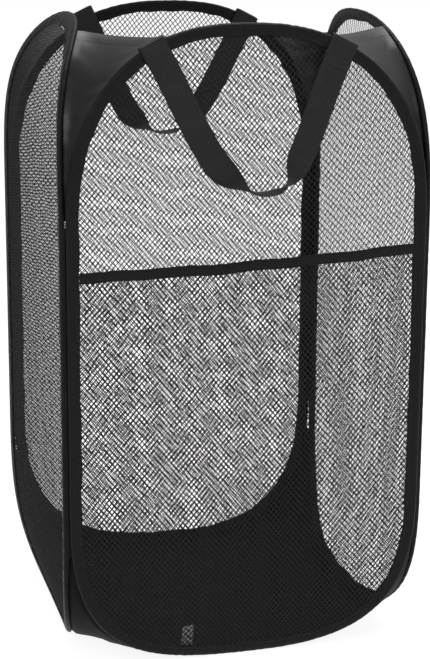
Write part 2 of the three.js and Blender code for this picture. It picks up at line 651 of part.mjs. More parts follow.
WALLS.forEach((sides, index) => {
  const { name, turn, bow } = sides;
  const wall = new THREE.Group();
  wall.rotation.z = turn;
  wall.add(
    mesh(`${name}_hoop_wire`, wireGeometry(bow), springSteel),
    mesh(`${name}_hoop_crimp`, crimpGeometry(), crimpSteel),
    mesh(`${name}_hoop_channel`, channelGeometry(bow), channelFabric),
    mesh(`${name}_mesh`, netGeometry(bow), meshFabric),
    mesh(`${CORNER_NAMES[name]}_corner_cloth`, cornerGeometry(sides, WALLS.at(index - 1)), nylonCloth));
  if (name === 'front') {
    wall.add(
      mesh('pocket_mesh', pocketGeometry(bow), meshFabric),
      mesh('pocket_hem', pocketHemGeometry(bow), channelFabric),
      mesh('label', labelGeometry(bow), labelCloth));
  }
  if (name in HANDLES) {
    const { side, drop, sideways, ends } = HANDLES[name];
    wall.add(mesh(`${name}_handle_loop`, strapLoopGeometry(side, drop, sideways, bow), webbing));
    ends.forEach((end, place) => {
      const across = (place - 1 / 2) * STRAP_SPACING;
      wall.add(mesh(`${name}_handle_${end}_end`, strapEndGeometry(across, side, bow), webbing));
    });
  }
  hamper.add(wall);
});
hamper.add(mesh('base_cloth', baseGeometry(), nylonCloth));

export default hamper;
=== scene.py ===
"""Pop up laundry hamper, dressed for a studio photograph.

Four sprung hoops in folded fabric channels carry walls of diamond net. Nylon cloths close the head
corners and the base, a second net makes a pocket on the front wall, and two webbing straps are the
handles. Sizes are millimetres unless a name says otherwise, and become metres where a mesh is made.
"""

import functools
import logging
import math
from collections.abc import Callable
from dataclasses import dataclass, replace
from enum import Enum

import bpy
import numpy as np
from mathutils import Matrix, Vector


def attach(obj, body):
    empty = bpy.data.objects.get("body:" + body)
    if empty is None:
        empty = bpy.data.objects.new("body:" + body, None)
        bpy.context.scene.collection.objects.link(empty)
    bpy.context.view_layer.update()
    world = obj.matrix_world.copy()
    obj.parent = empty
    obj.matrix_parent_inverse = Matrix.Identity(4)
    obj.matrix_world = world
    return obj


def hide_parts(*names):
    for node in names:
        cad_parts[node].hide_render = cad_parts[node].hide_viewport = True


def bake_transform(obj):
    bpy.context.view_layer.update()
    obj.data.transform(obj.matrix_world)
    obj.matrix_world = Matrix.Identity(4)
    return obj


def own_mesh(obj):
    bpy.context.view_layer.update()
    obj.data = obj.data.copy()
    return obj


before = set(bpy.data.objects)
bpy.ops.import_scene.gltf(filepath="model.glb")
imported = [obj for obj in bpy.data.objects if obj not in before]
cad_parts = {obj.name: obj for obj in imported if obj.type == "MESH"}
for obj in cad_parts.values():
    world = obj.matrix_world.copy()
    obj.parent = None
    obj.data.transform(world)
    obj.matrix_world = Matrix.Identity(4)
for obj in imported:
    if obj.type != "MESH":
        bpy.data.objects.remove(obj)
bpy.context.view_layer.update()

MM = 0.001
LOG = logging.getLogger("hamper")


# Colour and shader nodes

def linear(colour: int) -> tuple[float, float, float, float]:
    """Turns an sRGB hex colour into linear light.

    Args:
        colour: The colour as 0xRRGGBB.

    Returns:
        Red, green, blue and an alpha of 1.
    """
    shares = [(colour >> shift & 0xFF) / 255 for shift in (16, 8, 0)]
    light = [share / 12.92 if share <= 0.04045 else ((share + 0.055) / 1.055) ** 2.4 for share in shares]
    return (light[0], light[1], light[2], 1.0)


def add_node(tree: bpy.types.NodeTree, kind: str, settings: dict | None = None,
             links: dict | None = None) -> bpy.types.Node:
    """Adds a node with its settings and links.

    Args:
        tree: The node tree that gets it.
        kind: The node's type, such as ShaderNodeBump.
        settings: Values by the name of a property, or by the name or number of an input.
        links: Sockets that feed an input, by the input's name or number.

    Returns:
        The new node.
    """
    node = tree.nodes.new(kind)
    for name, value in (settings or {}).items():
        if isinstance(name, str) and hasattr(node, name):
            setattr(node, name, value)
        else:
            node.inputs[name].default_value = value
    for name, socket in (links or {}).items():
        tree.links.new(socket, node.inputs[name])
    return node


# Materials

CLOTH_MAP = "Cloth"       # a map whose unit is one millimetre of cloth
BAKE_MAP = "OFBake"


@dataclass(frozen=True)
class Finish:
    """A surface that starts from one colour and one roughness.

    Attributes:
        name: The material's name.
        colour: Its sRGB colour.
        shade: A darker or lighter sRGB colour that it wanders to.
        roughness: Its roughness.
        mottle_mm: Size of the patches in which its colour wanders.
        sheen: Sheen weight, for the fuzz of cloth.
        metallic: 1 for metal.
        specular: Specular level. Loose fibres shade each other, so cloth has less than a solid.
        grain_mm: Size of the fine grain.
    """

    name: str
    colour: int
    shade: int
    roughness: float
    mottle_mm: float = 40.0
    sheen: float = 0.0
    metallic: float = 0.0
    specular: float = 0.2
    grain_mm: float = 10 / 9

    @functools.cache
    def make(self) -> bpy.types.Material:
        """Makes the material once, and hands out the same one later.

        Returns:
            The material.
        """
        material = bpy.data.materials.new(self.name)
        material.use_nodes = True
        tree = material.node_tree
        tree.nodes.clear()
        place = add_node(tree, "ShaderNodeTexCoord").outputs["Object"]
        patches = add_node(tree, "ShaderNodeTexNoise", {"Scale": 1 / (self.mottle_mm * MM), "Detail": 4.0,
                                                        "Roughness": 0.6}, {"Vector": place})
        colour = add_node(tree, "ShaderNodeMix", {"data_type": "RGBA", 6: linear(self.colour),
                                                  7: linear(self.shade)}, {0: patches.outputs["Fac"]})
        settings = {"Roughness": self.roughness, "Metallic": self.metallic, "Sheen Weight": self.sheen,
                    "Sheen Roughness": 0.5, "Specular IOR Level": self.specular}
        links = {"Base Color": self.tint(tree, colour.outputs[2]), "Normal": self.relief(tree, place)}
        shader = add_node(tree, "ShaderNodeBsdfPrincipled", settings, links)
        add_node(tree, "ShaderNodeOutputMaterial", None, {"Surface": shader.outputs["BSDF"]})
        return material

    def tint(self, tree: bpy.types.NodeTree, colour: bpy.types.NodeSocket) -> bpy.types.NodeSocket:
        """Returns the colour socket, which a finish may work over."""
        return colour

    def relief(self, tree: bpy.types.NodeTree, place: bpy.types.NodeSocket) -> bpy.types.NodeSocket:
        """Returns the normal of a surface with fine grain."""
        grain = add_node(tree, "ShaderNodeTexNoise", {"Scale": 1 / (self.grain_mm * MM), "Detail": 3.0},
                         {"Vector": place})
        return add_node(tree, "ShaderNodeBump", {"Strength": 0.2, "Distance": 0.0001},
                        {"Height": grain.outputs["Fac"]}).outputs["Normal"]


def cloth_axes(tree: bpy.types.NodeTree) -> tuple[bpy.types.NodeSocket, bpy.types.NodeSocket]:
    """Finds the two directions of the cloth map.

    Args:
        tree: The node tree of the material.

    Returns:
        Sockets with the place across the cloth and along it, in millimetres.
    """
    cloth = add_node(tree, "ShaderNodeUVMap", {"uv_map": CLOTH_MAP})
    parts = add_node(tree, "ShaderNodeSeparateXYZ", None, {0: cloth.outputs["UV"]})
    return parts.outputs["X"], parts.outputs["Y"]


def wave(tree: bpy.types.NodeTree, along: bpy.types.NodeSocket, spacing: float) -> bpy.types.NodeSocket:
    """Makes an even wave.

    Args:
        tree: The node tree of the material.
        along: Place on the cloth, in millimetres.
        spacing: From one crest to the next, in millimetres.

    Returns:
        A socket that goes from -1 to 1 and back at each spacing.
    """
    turned = add_node(tree, "ShaderNodeMath", {"operation": "MULTIPLY", 1: 2 * math.pi / spacing}, {0: along})
    return add_node(tree, "ShaderNodeMath", {"operation": "SINE"}, {0: turned.outputs[0]}).outputs[0]


@dataclass(frozen=True)
class WovenCloth(Finish):
    """Cloth with a plain weave, whose threads cross over and under.

    Attributes:
        thread_mm: Spacing of its threads. Finer weaves are drawn at about half a millimetre, so that
            they still show as a grain.
        depth_mm: How deep the weave is.
        crease_mm: Size of the soft creases, or 0 for none.
    """

    thread_mm: float = 0.5
    depth_mm: float = 0.05
    crease_mm: float = 0.0

    def relief(self, tree: bpy.types.NodeTree, place: bpy.types.NodeSocket) -> bpy.types.NodeSocket:
        """Makes the weave, over soft creases where the cloth has them.

        Args:
            tree: The node tree of the material.
            place: The place on the piece.

        Returns:
            The normal socket.
        """
        across, along = cloth_axes(tree)
        pair = 2 * self.thread_mm
        crossing = add_node(tree, "ShaderNodeMath", {"operation": "MULTIPLY"},
                            {0: wave(tree, across, pair), 1: wave(tree, along, pair)})
        links = {"Height": crossing.outputs[0]}
        if self.crease_mm:
            creases = add_node(tree, "ShaderNodeTexNoise", {"Scale": 1 / (self.crease_mm * MM), "Detail": 3.0,
                                                            "Distortion": 0.6}, {"Vector": place})
            bump = add_node(tree, "ShaderNodeBump", {"Strength": 0.55, "Distance": 0.0016},
                            {"Height": creases.outputs["Fac"]})
            links["Normal"] = bump.outputs["Normal"]
        return add_node(tree, "ShaderNodeBump", {"Strength": 0.6, "Distance": self.depth_mm * MM},
                        links).outputs["Normal"]


@dataclass(frozen=True)
class Webbing(WovenCloth):
    """Narrow polypropylene webbing: ribs are modelled, and this adds the warp threads across them and painted
    shade in their grooves.

    Attributes:
        rib_mm: Spacing of its ribs. Real ones are about 1.6 mm apart, and are drawn a little coarser so that
        they still show. The groove between two ribs gets no light, so it is painted black as shade.
    """

    rib_mm: float = 2.2

    def tint(self, tree: bpy.types.NodeTree, colour: bpy.types.NodeSocket) -> bpy.types.NodeSocket:
        """Paints shade into the grooves between the ribs, mixing their colour towards black.

        Args:
            tree: The node tree of the material.
            colour: The webbing's colour.

        Returns:
            The colour socket.
        """
        crest = wave(tree, cloth_axes(tree)[1], self.rib_mm)
        # painted shade: the grooves, which get no light, keep as little as 0.12 of the webbing's colour
        light = add_node(tree, "ShaderNodeMapRange", {"From Min": -0.9, "From Max": 0.5, "To Min": 0.12},
                         {"Value": crest})
        return add_node(tree, "ShaderNodeMix", {"data_type": "RGBA", 6: linear(0x000000)},
                        {0: light.outputs["Result"], 7: colour}).outputs[2]

    def relief(self, tree: bpy.types.NodeTree, place: bpy.types.NodeSocket) -> bpy.types.NodeSocket:
        """Makes the warp threads that run along the webbing.

        Args:
            tree: The node tree of the material.
            place: The place on the piece, which the threads don't need.

        Returns:
            The normal socket.
        """
        across, along = cloth_axes(tree)
        warp = wave(tree, across, self.thread_mm)
        weft = wave(tree, along, self.thread_mm)
        over = add_node(tree, "ShaderNodeMath", {"operation": "MULTIPLY_ADD", 1: 0.5}, {0: weft, 2: warp})
        return add_node(tree, "ShaderNodeBump", {"Strength": 0.7, "Distance": self.depth_mm * MM},
                        {"Height": over.outputs[0]}).outputs["Normal"]


@dataclass(frozen=True)
class DrawnSteel(Finish):
    """Steel drawn or pressed, with fine lines along it.

    Attributes:
        line_mm: Width of a line.
        line_run_mm: Length of a line.
    """

    line_mm: float = 0.25
    line_run_mm: float = 50 / 3

    def relief(self, tree: bpy.types.NodeTree, place: bpy.types.NodeSocket) -> bpy.types.NodeSocket:
        """Makes the fine drawing lines.

        Args:
            tree: The node tree of the material.
            place: The place on the piece.

        Returns:
            The normal socket.
        """
        fine = 1 / (self.line_mm * MM)
        stretched = add_node(tree, "ShaderNodeMapping", {"Scale": (fine, fine, 1 / (self.line_run_mm * MM))},
                             {"Vector": place})
        lines = add_node(tree, "ShaderNodeTexNoise", {"Scale": 1.0, "Detail": 2.0},
                         {"Vector": stretched.outputs["Vector"]})
        return add_node(tree, "ShaderNodeBump", {"Strength": 0.15, "Distance": 0.00005},
                        {"Height": lines.outputs["Fac"]}).outputs["Normal"]


# Woven polyester tape: matt black with a faint fuzz, a little lighter where it is stretched over the wire
POLYESTER_TAPE = WovenCloth("polyester_tape", 0x161617, 0x0E0E0F, 0.5, mottle_mm=30.0, specular=0.14,
                            thread_mm=0.55, depth_mm=0.05, crease_mm=16.0)
# Knitted polyester yarn: soft dark grey, because light comes through its loose filaments
KNITTED_YARN = Finish("knitted_yarn", 0x303032, 0x202022, 0.7, mottle_mm=9.0, specular=0.1)
# Calendered nylon: smooth black with soft highlights on its creases
CALENDERED_NYLON = WovenCloth("calendered_nylon", 0x101011, 0x0B0B0C, 0.32, mottle_mm=25.0, specular=0.36,
                              thread_mm=0.45, depth_mm=0.015)
# Coated oxford cloth of the base: black, matt, with a visible basket weave
COATED_OXFORD = WovenCloth("coated_oxford", 0x101011, 0x0A0A0B, 0.62, mottle_mm=60.0, specular=0.08,
                           thread_mm=0.8, depth_mm=0.08, crease_mm=60.0)
# Polypropylene webbing: black, ribbed, with a dull plastic shine on each thread and painted shade in the
# grooves between its ribs
RIBBED_WEBBING = Webbing("ribbed_webbing", 0x2C2C2E, 0x222223, 0.5, mottle_mm=18.0, specular=0.2,
                         thread_mm=1.1, depth_mm=0.1, rib_mm=2.2)
# Bonded polyester sewing thread: black, slightly shiny
SEWING_THREAD = Finish("sewing_thread", 0x2A2A2C, 0x1E1E20, 0.45, mottle_mm=3.0, specular=0.3)
# Woven satin label: pale grey and blank
SATIN_LABEL = WovenCloth("satin_label", 0xBDBDBA, 0xA4A4A2, 0.6, mottle_mm=3.0, sheen=0.1, thread_mm=0.5,
                         depth_mm=0.04)
# Oil-tempered spring wire and its pressed steel crimp, both inside the channels
SPRING_WIRE = DrawnSteel("spring_wire", 0x8E9093, 0x7A7C80, 0.38, metallic=1.0, specular=0.5)
PRESSED_CRIMP = DrawnSteel("pressed_crimp", 0xA2A5A8, 0x8D9093, 0.45, metallic=1.0, specular=0.5)


# Mesh making

WAVES = 7                 # waves in a ripple
BAKE_MARGIN = 0.004       # empty share at each side of the baking map
STITCH_SIDES = 6          # corners round a stitch, whose lids are laid out for six
# Where each ring of corners lies along a stitch, and its girth as a share of the stitch's width
STITCH_SHARES = ((0.0, 0.45), (0.2, 0.9), (0.5, 1.0), (0.8, 0.9), (1.0, 0.45))


def smooth_step(low: float, high: float, value: np.ndarray) -> np.ndarray:
    """Returns 0 below low, 1 above high, and a smooth rise between."""
    share = np.clip((np.asarray(value, float) - low) / (high - low), 0, 1)
    return share * share * (3 - 2 * share)


class Ripple:
    """Smooth wander in two directions: a few waves with seeded directions and phases."""

    def __init__(self, seed: int, size: float) -> None:
        """Draws the waves.

        Args:
            seed: Seed of the draw.
            size: Usual distance between two crests.
        """
        draw = np.random.RandomState(seed)
        heading = draw.uniform(0, 2 * math.pi, WAVES)
        length = size * draw.uniform(0.6, 1.7, WAVES)
        self.turn = 2 * math.pi * np.stack([np.cos(heading), np.sin(heading)]) / length
        self.phase = draw.uniform(0, 2 * math.pi, WAVES)
        self.share = 1 / math.sqrt(WAVES / 2)

    def at(self, u: np.ndarray, v: np.ndarray) -> np.ndarray:
        """Reads the wander off at some places.

        Args:
            u: Places in one direction.
            v: Places in the other.

        Returns:
            The wander at each, from about -1 to 1.
        """
        u, v = np.broadcast_arrays(np.asarray(u, float), np.asarray(v, float))
        angle = u[..., None] * self.turn[0] + v[..., None] * self.turn[1] + self.phase
        return np.sin(angle).sum(-1) * self.share


class Skin:
    """Quads that grow into one mesh, with a map for baking and a map in millimetres of cloth."""

    def __init__(self, name: str) -> None:
        """Starts an empty mesh.

        Args:
            name: The piece's name.
        """
        self.name = name
        self.points: list[np.ndarray] = []
        self.faces: list[np.ndarray] = []
        self.bake: list[np.ndarray] = []
        self.cloth: list[np.ndarray] = []
        self.count = 0

    def add(self, points: np.ndarray, faces: np.ndarray, bake: np.ndarray, cloth: np.ndarray) -> None:
        """Adds points and quads.

        Args:
            points: Places, one row each.
            faces: Four point numbers per quad.
            bake: Place of each quad's corners in the baking map, 0 to 1.
            cloth: Place of each quad's corners on the cloth, in millimetres.
        """
        self.points.append(points.reshape(-1, 3))
        self.faces.append(faces.reshape(-1, 4) + self.count)
        self.bake.append(bake.reshape(-1, 4, 2) * (1 - 2 * BAKE_MARGIN) + BAKE_MARGIN)
        self.cloth.append(cloth.reshape(-1, 4, 2))
        self.count += len(self.points[-1])

    def grid(self, points: np.ndarray, ring: bool = False, loop: bool = False) -> None:
        """Adds a skin over rows and columns of points.

        Args:
            points: Rows x columns x 3.
            ring: Whether each row closes on itself.
            loop: Whether the last row joins the first.
        """
        rows, columns = points.shape[:2]
        row, column = np.meshgrid(np.arange(rows if loop else rows - 1),
                                  np.arange(columns if ring else columns - 1), indexing="ij")
        corners = [(row, column), (row, column + 1), (row + 1, column + 1), (row + 1, column)]
        faces = np.stack([(r % rows) * columns + c % columns for r, c in corners], -1)
        tall, wide = row.shape
        bake = np.stack([np.stack([c / wide, r / tall], -1) for r, c in corners], -2)
        run = distance_along(points, 0, loop)
        width = distance_along(points, 1, ring)
        cloth = np.stack([np.stack([width[c], run[r]], -1) for r, c in corners], -2)
        self.add(points, faces, bake, cloth)

    def sheet(self, middle: np.ndarray, thickness: np.ndarray | float) -> None:
        """Adds a closed sheet of cloth round a grid of its middle places.

        Args:
            middle: Rows x columns x 3.
            thickness: How thick it is, or a thickness at each point.
        """
        normal = grid_normals(middle) * (np.broadcast_to(thickness, middle.shape[:2])[..., None] / 2)
        ring = np.concatenate([middle + normal, (middle - normal)[:, ::-1]], 1)
        start = self.count
        self.grid(ring, ring=True)
        corner = self.bake[-1][0, 0]
        rows, columns = middle.shape[:2]
        for row, order in ((0, 1), (rows - 1, -1)):
            over = row * 2 * columns + np.arange(columns)
            under = row * 2 * columns + 2 * columns - 1 - np.arange(columns)
            cap = np.stack([over[:-1], over[1:], under[1:], under[:-1]], -1)[:, ::-order]
            rim = np.zeros((columns - 1, 4, 2))
            self.faces.append(cap + start)
            self.bake.append(rim + corner)
            self.cloth.append(rim)

    def finish(self, finish: Finish, slot: str, body: str | None) -> bpy.types.Object:
        """Turns the quads into an object.

        Args:
            finish: Its material.
            slot: Name of a material slot; not used.
            body: The body it rides on, or None for a piece on no body.

        Returns:
            The object, linked to the scene.
        """
        points = np.concatenate(self.points)
        faces = np.concatenate(self.faces)
        bake = np.concatenate(self.bake)
        cloth = np.concatenate(self.cloth)
        a, b, c, d = (points[faces[:, corner]] for corner in range(4))
        volume = np.einsum("ij,ij->i", a, np.cross(b, c) + np.cross(c, d)).sum()
        if volume < 0:
            faces, bake, cloth = faces[:, ::-1], bake[:, ::-1], cloth[:, ::-1]
        mesh = bpy.data.meshes.new(self.name)
        mesh.vertices.add(len(points))
        mesh.vertices.foreach_set("co", (points * MM).astype(np.float32).ravel())
        mesh.loops.add(faces.size)
        mesh.loops.foreach_set("vertex_index", faces.astype(np.int32).ravel())
        mesh.polygons.add(len(faces))
        mesh.polygons.foreach_set("loop_start", np.arange(0, faces.size, 4, dtype=np.int32))
        mesh.update(calc_edges=True)
        for name, places in ((BAKE_MAP, bake), (CLOTH_MAP, cloth)):
            mesh.uv_layers.new(name=name).data.foreach_set("uv", places.astype(np.float32).ravel())
        mesh.polygons.foreach_set("use_smooth", np.full(len(faces), True))
        mesh.validate()
        mesh.materials.append(finish.make())
        piece = bpy.data.objects.new(self.name, mesh)
        bpy.context.scene.collection.objects.link(piece)
        if body:
            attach(piece, body)
        LOG.info("%s: %d faces", self.name, len(faces))
        return piece


def distance_along(points: np.ndarray, axis: int, closed: bool) -> np.ndarray:
    """Measures the mean distance run along one axis of a grid.

    Args:
        points: Rows x columns x 3.
        axis: 0 to run from row to row and 1 to run along the rows.
        closed: Whether the run comes back to its start.

    Returns:
        The distance at each place, with one more place where it is closed.
    """
    moved = np.moveaxis(points, axis, 0)
    if closed:
        moved = np.concatenate([moved, moved[:1]])
    steps = np.linalg.norm(np.diff(moved, axis=0), axis=-1).mean(-1)
    return np.concatenate([[0], np.cumsum(steps)])


def unit(vectors: np.ndarray) -> np.ndarray:
    """Returns each row at a length of 1."""
    return vectors / np.linalg.norm(vectors, axis=1, keepdims=True)


def path_run(path: np.ndarray) -> np.ndarray:
    """Returns the distance run along a path at each of its points."""
    return np.concatenate([[0], np.cumsum(np.linalg.norm(np.diff(path, axis=0), axis=1))])


def read_path(path: np.ndarray, run: np.ndarray, even: np.ndarray) -> np.ndarray:
    """Returns the places on a flat path at some distances run."""
    return np.stack([np.interp(even, run, path[:, axis]) for axis in (0, 1)], -1)


def grid_normals(points: np.ndarray) -> np.ndarray:
    """Returns the unit normal at each point of a grid."""
    normal = np.cross(np.gradient(points, axis=0), np.gradient(points, axis=1))
    return normal / np.maximum(np.linalg.norm(normal, axis=-1, keepdims=True), 1e-12)


# The hoops and the walls that they span

ARC_PLACES = 1441         # places on each arc before they are spaced evenly


@dataclass(frozen=True)
class HoopShape:
    """Outline and lean that the four walls share.

    Attributes:
        height: Height of a hoop.
        half_width: Half of its width.
        foot_arc: Height of the flatter arc at its foot.
        head_arc: Height of the rounder arc at its head.
        foot_power: Power of the foot's superellipse.
        head_power: Power of the head's superellipse.
        lean_power: Power of the lean inwards towards its tips.
        foot_lean: Lean of a foot's tip.
        middle: From the hamper's axis to the middle of a wall.
    """

    height: float = 600.0
    half_width: float = 167.85
    foot_arc: float = 165.0
    head_arc: float = 177.0
    foot_power: float = 2.78
    head_power: float = 2.37
    lean_power: float = 4.0
    foot_lean: float = 20.0
    middle: float = 170.75

    @property
    def spring(self) -> float:
        """Height at which the head arc starts."""
        return self.height - self.head_arc

    def lean(self, up: np.ndarray, head_lean: float) -> np.ndarray:
        """Works out how far a wall leans inwards.

        Args:
            up: Heights.
            head_lean: Lean of the tip of the wall's head.

        Returns:
            The lean at each height.
        """
        head = np.maximum((up - self.spring) / self.head_arc, 0)
        foot = np.maximum((self.foot_arc - up) / self.foot_arc, 0)
        return head_lean * head ** self.lean_power + self.foot_lean * foot ** self.lean_power

    def half_width_at(self, up: np.ndarray) -> np.ndarray:
        """Works out half of the outline's width.

        Args:
            up: Heights.

        Returns:
            Half of the width at each height.
        """
        head = np.clip((up - self.spring) / self.head_arc, 0, 1)
        foot = np.clip((self.foot_arc - up) / self.foot_arc, 0, 1)
        return self.half_width * ((1 - head ** self.head_power) ** (1 / self.head_power)
                                  * (1 - foot ** self.foot_power) ** (1 / self.foot_power))

    def foot_height_at(self, across: np.ndarray) -> np.ndarray:
        """Returns the height of the foot arc at a distance from the wall's middle."""
        share = np.clip(np.abs(across) / self.half_width, 0, 1)
        return self.foot_arc * (1 - (1 - share ** self.foot_power) ** (1 / self.foot_power))

    def head_frame(self, across: float) -> tuple[np.ndarray, np.ndarray, np.ndarray]:
        """Finds the head arc at one place.

        Args:
            across: Distance from the wall's middle.

        Returns:
            The arc's point, its direction, and the way into the wall.
        """
        share = abs(across) / self.half_width
        fall = (1 - share ** self.head_power) ** (1 / self.head_power)
        slope = -math.copysign(self.head_arc / self.half_width, across) * share ** (self.head_power - 1)
        along = np.array([1, slope * fall ** (1 - self.head_power)])
        along /= np.linalg.norm(along)
        return np.array([across, self.spring + self.head_arc * fall]), along, np.array([along[1], -along[0]])

    def outline(self, step: float) -> tuple[np.ndarray, np.ndarray]:
        """Lays even places round the outline.

        Args:
            step: About how far apart they are.

        Returns:
            The places, and the way into the wall at each.
        """
        angle = np.linspace(0, math.pi, ARC_PLACES)
        arcs = []
        for middle, rise, power in ((self.spring, self.head_arc, self.head_power),
                                    (self.foot_arc, -self.foot_arc, self.foot_power)):
            across = np.sign(np.cos(angle)) * np.abs(np.cos(angle)) ** (2 / power)
            up = np.abs(np.sin(angle)) ** (2 / power)
            arcs.append(np.stack([self.half_width * across, middle + rise * up], -1))
        path = np.concatenate([arcs[0], arcs[1][::-1], arcs[0][:1]])
        run = path_run(path)
        even = np.linspace(0, run[-1], round(run[-1] / step), endpoint=False)
        points = read_path(path, run, even)
        along = unit(np.roll(points, -2, 0) - np.roll(points, 2, 0))
        return points, np.stack([-along[:, 1], along[:, 0]], -1)


HOOP = HoopShape()


class Side(Enum):
    """The four sides, by their quarter turn from the front."""

    FRONT = 0
    RIGHT = 1
    BACK = 2
    LEFT = 3


@dataclass(frozen=True)
class Wall:
    """One wall, in a frame of its own: across, up and through.

    Attributes:
        side: Which side it is on.
        head_lean: How far the tip of its head leans inwards.
    """

    side: Side
    head_lean: float

    @property
    def name(self) -> str:
        """The side's name in plain letters."""
        return self.side.name.lower()

    @property
    def body(self) -> str:
        """The body that the wall belongs to."""
        return f"{self.name}_wall"

    def place(self, across: np.ndarray, up: np.ndarray, through: np.ndarray | float) -> np.ndarray:
        """Turns places on the wall into places in the hamper's frame.

        Args:
            across: Distance across the wall from its middle, to the right as seen from outside.
            up: Height.
            through: Distance from the wall's middle face, where inwards is positive.

        Returns:
            The places, with x, y and z last.
        """
        across, up, through = np.broadcast_arrays(
            *(np.asarray(value, float) for value in (across, up, through)))
        y = -HOOP.middle + through + HOOP.lean(up, self.head_lean)
        return self.turned(np.stack([across, y, up], -1))

    def turned(self, points: np.ndarray) -> np.ndarray:
        """Turns points or directions from the front wall's frame to this wall.

        Args:
            points: Points or directions, with x, y and z last.

        Returns:
            The same, turned about the hamper's axis.
        """
        cos, sin = ((1, 0), (0, 1), (-1, 0), (0, -1))[self.side.value]
        x, y, z = np.moveaxis(points, -1, 0)
        return np.stack([x * cos - y * sin, x * sin + y * cos, z], -1)


WALLS = {wall.side: wall for wall in (Wall(Side.FRONT, 18.0), Wall(Side.RIGHT, 16.0), Wall(Side.BACK, 12.0),
                                      Wall(Side.LEFT, 40.0))}


def dress_node(node: str, finish: Finish) -> None:
    """Gives a carried-over node its material."""
    for slot in bpy.data.objects[node].material_slots:
        slot.material = finish.make()


def add_stitches(skin: Skin, wall: Wall, side: int, ends: list[np.ndarray], width: float) -> None:
    """Adds one short thread, a small closed spindle, for each pair of ends.

    Args:
        skin: The mesh that gets them.
        wall: The wall that is sewn.
        side: -1 on the wall's outer face and 1 on its inner face.
        ends: Where the stitches start, and where they end.
        width: How wide a stitch is.
    """
    start, end = ends
    outwards = np.broadcast_to(wall.turned(np.array([[0.0, side, 0.0]])), start.shape)
    along = end - start
    beside = unit(np.cross(along, outwards))
    rows = []
    for share, girth in STITCH_SHARES:
        centre = start + along * share
        corners = [centre + beside * (width / 2 * girth * math.cos(turn))
                   + outwards * (width / 2 * girth * math.sin(turn))
                   for turn in np.arange(STITCH_SIDES) * 2 * math.pi / STITCH_SIDES]
        rows.append(np.stack(corners, 1))
    shape = np.stack(rows, 1)
    count = len(shape)
    row, column = np.meshgrid(np.arange(len(rows) - 1), np.arange(STITCH_SIDES), indexing="ij")
    beside_column = (column + 1) % STITCH_SIDES
    faces = np.stack([row * STITCH_SIDES + column, row * STITCH_SIDES + beside_column,
                      (row + 1) * STITCH_SIDES + beside_column, (row + 1) * STITCH_SIDES + column], -1)
    last = (len(rows) - 1) * STITCH_SIDES
    lids = np.array([[0, 5, 4, 3], [0, 3, 2, 1],
                     [last, last + 1, last + 2, last + 3], [last, last + 3, last + 4, last + 5]])
    faces = np.concatenate([faces.reshape(-1, 4), lids])
    every = faces[None] + (np.arange(count) * len(rows) * STITCH_SIDES)[:, None, None]
    flat = np.zeros((count * len(faces), 4, 2))
    flat[..., 0] = np.repeat((np.arange(count) + 0.5) / count, len(faces))[:, None]
    flat[..., 1] = 0.5
    skin.add(shape, every, flat, flat)


CORNER_SHARES = (0.29, 0.71)  # a bead's point nearest the fold line: inset and way through, by its radius


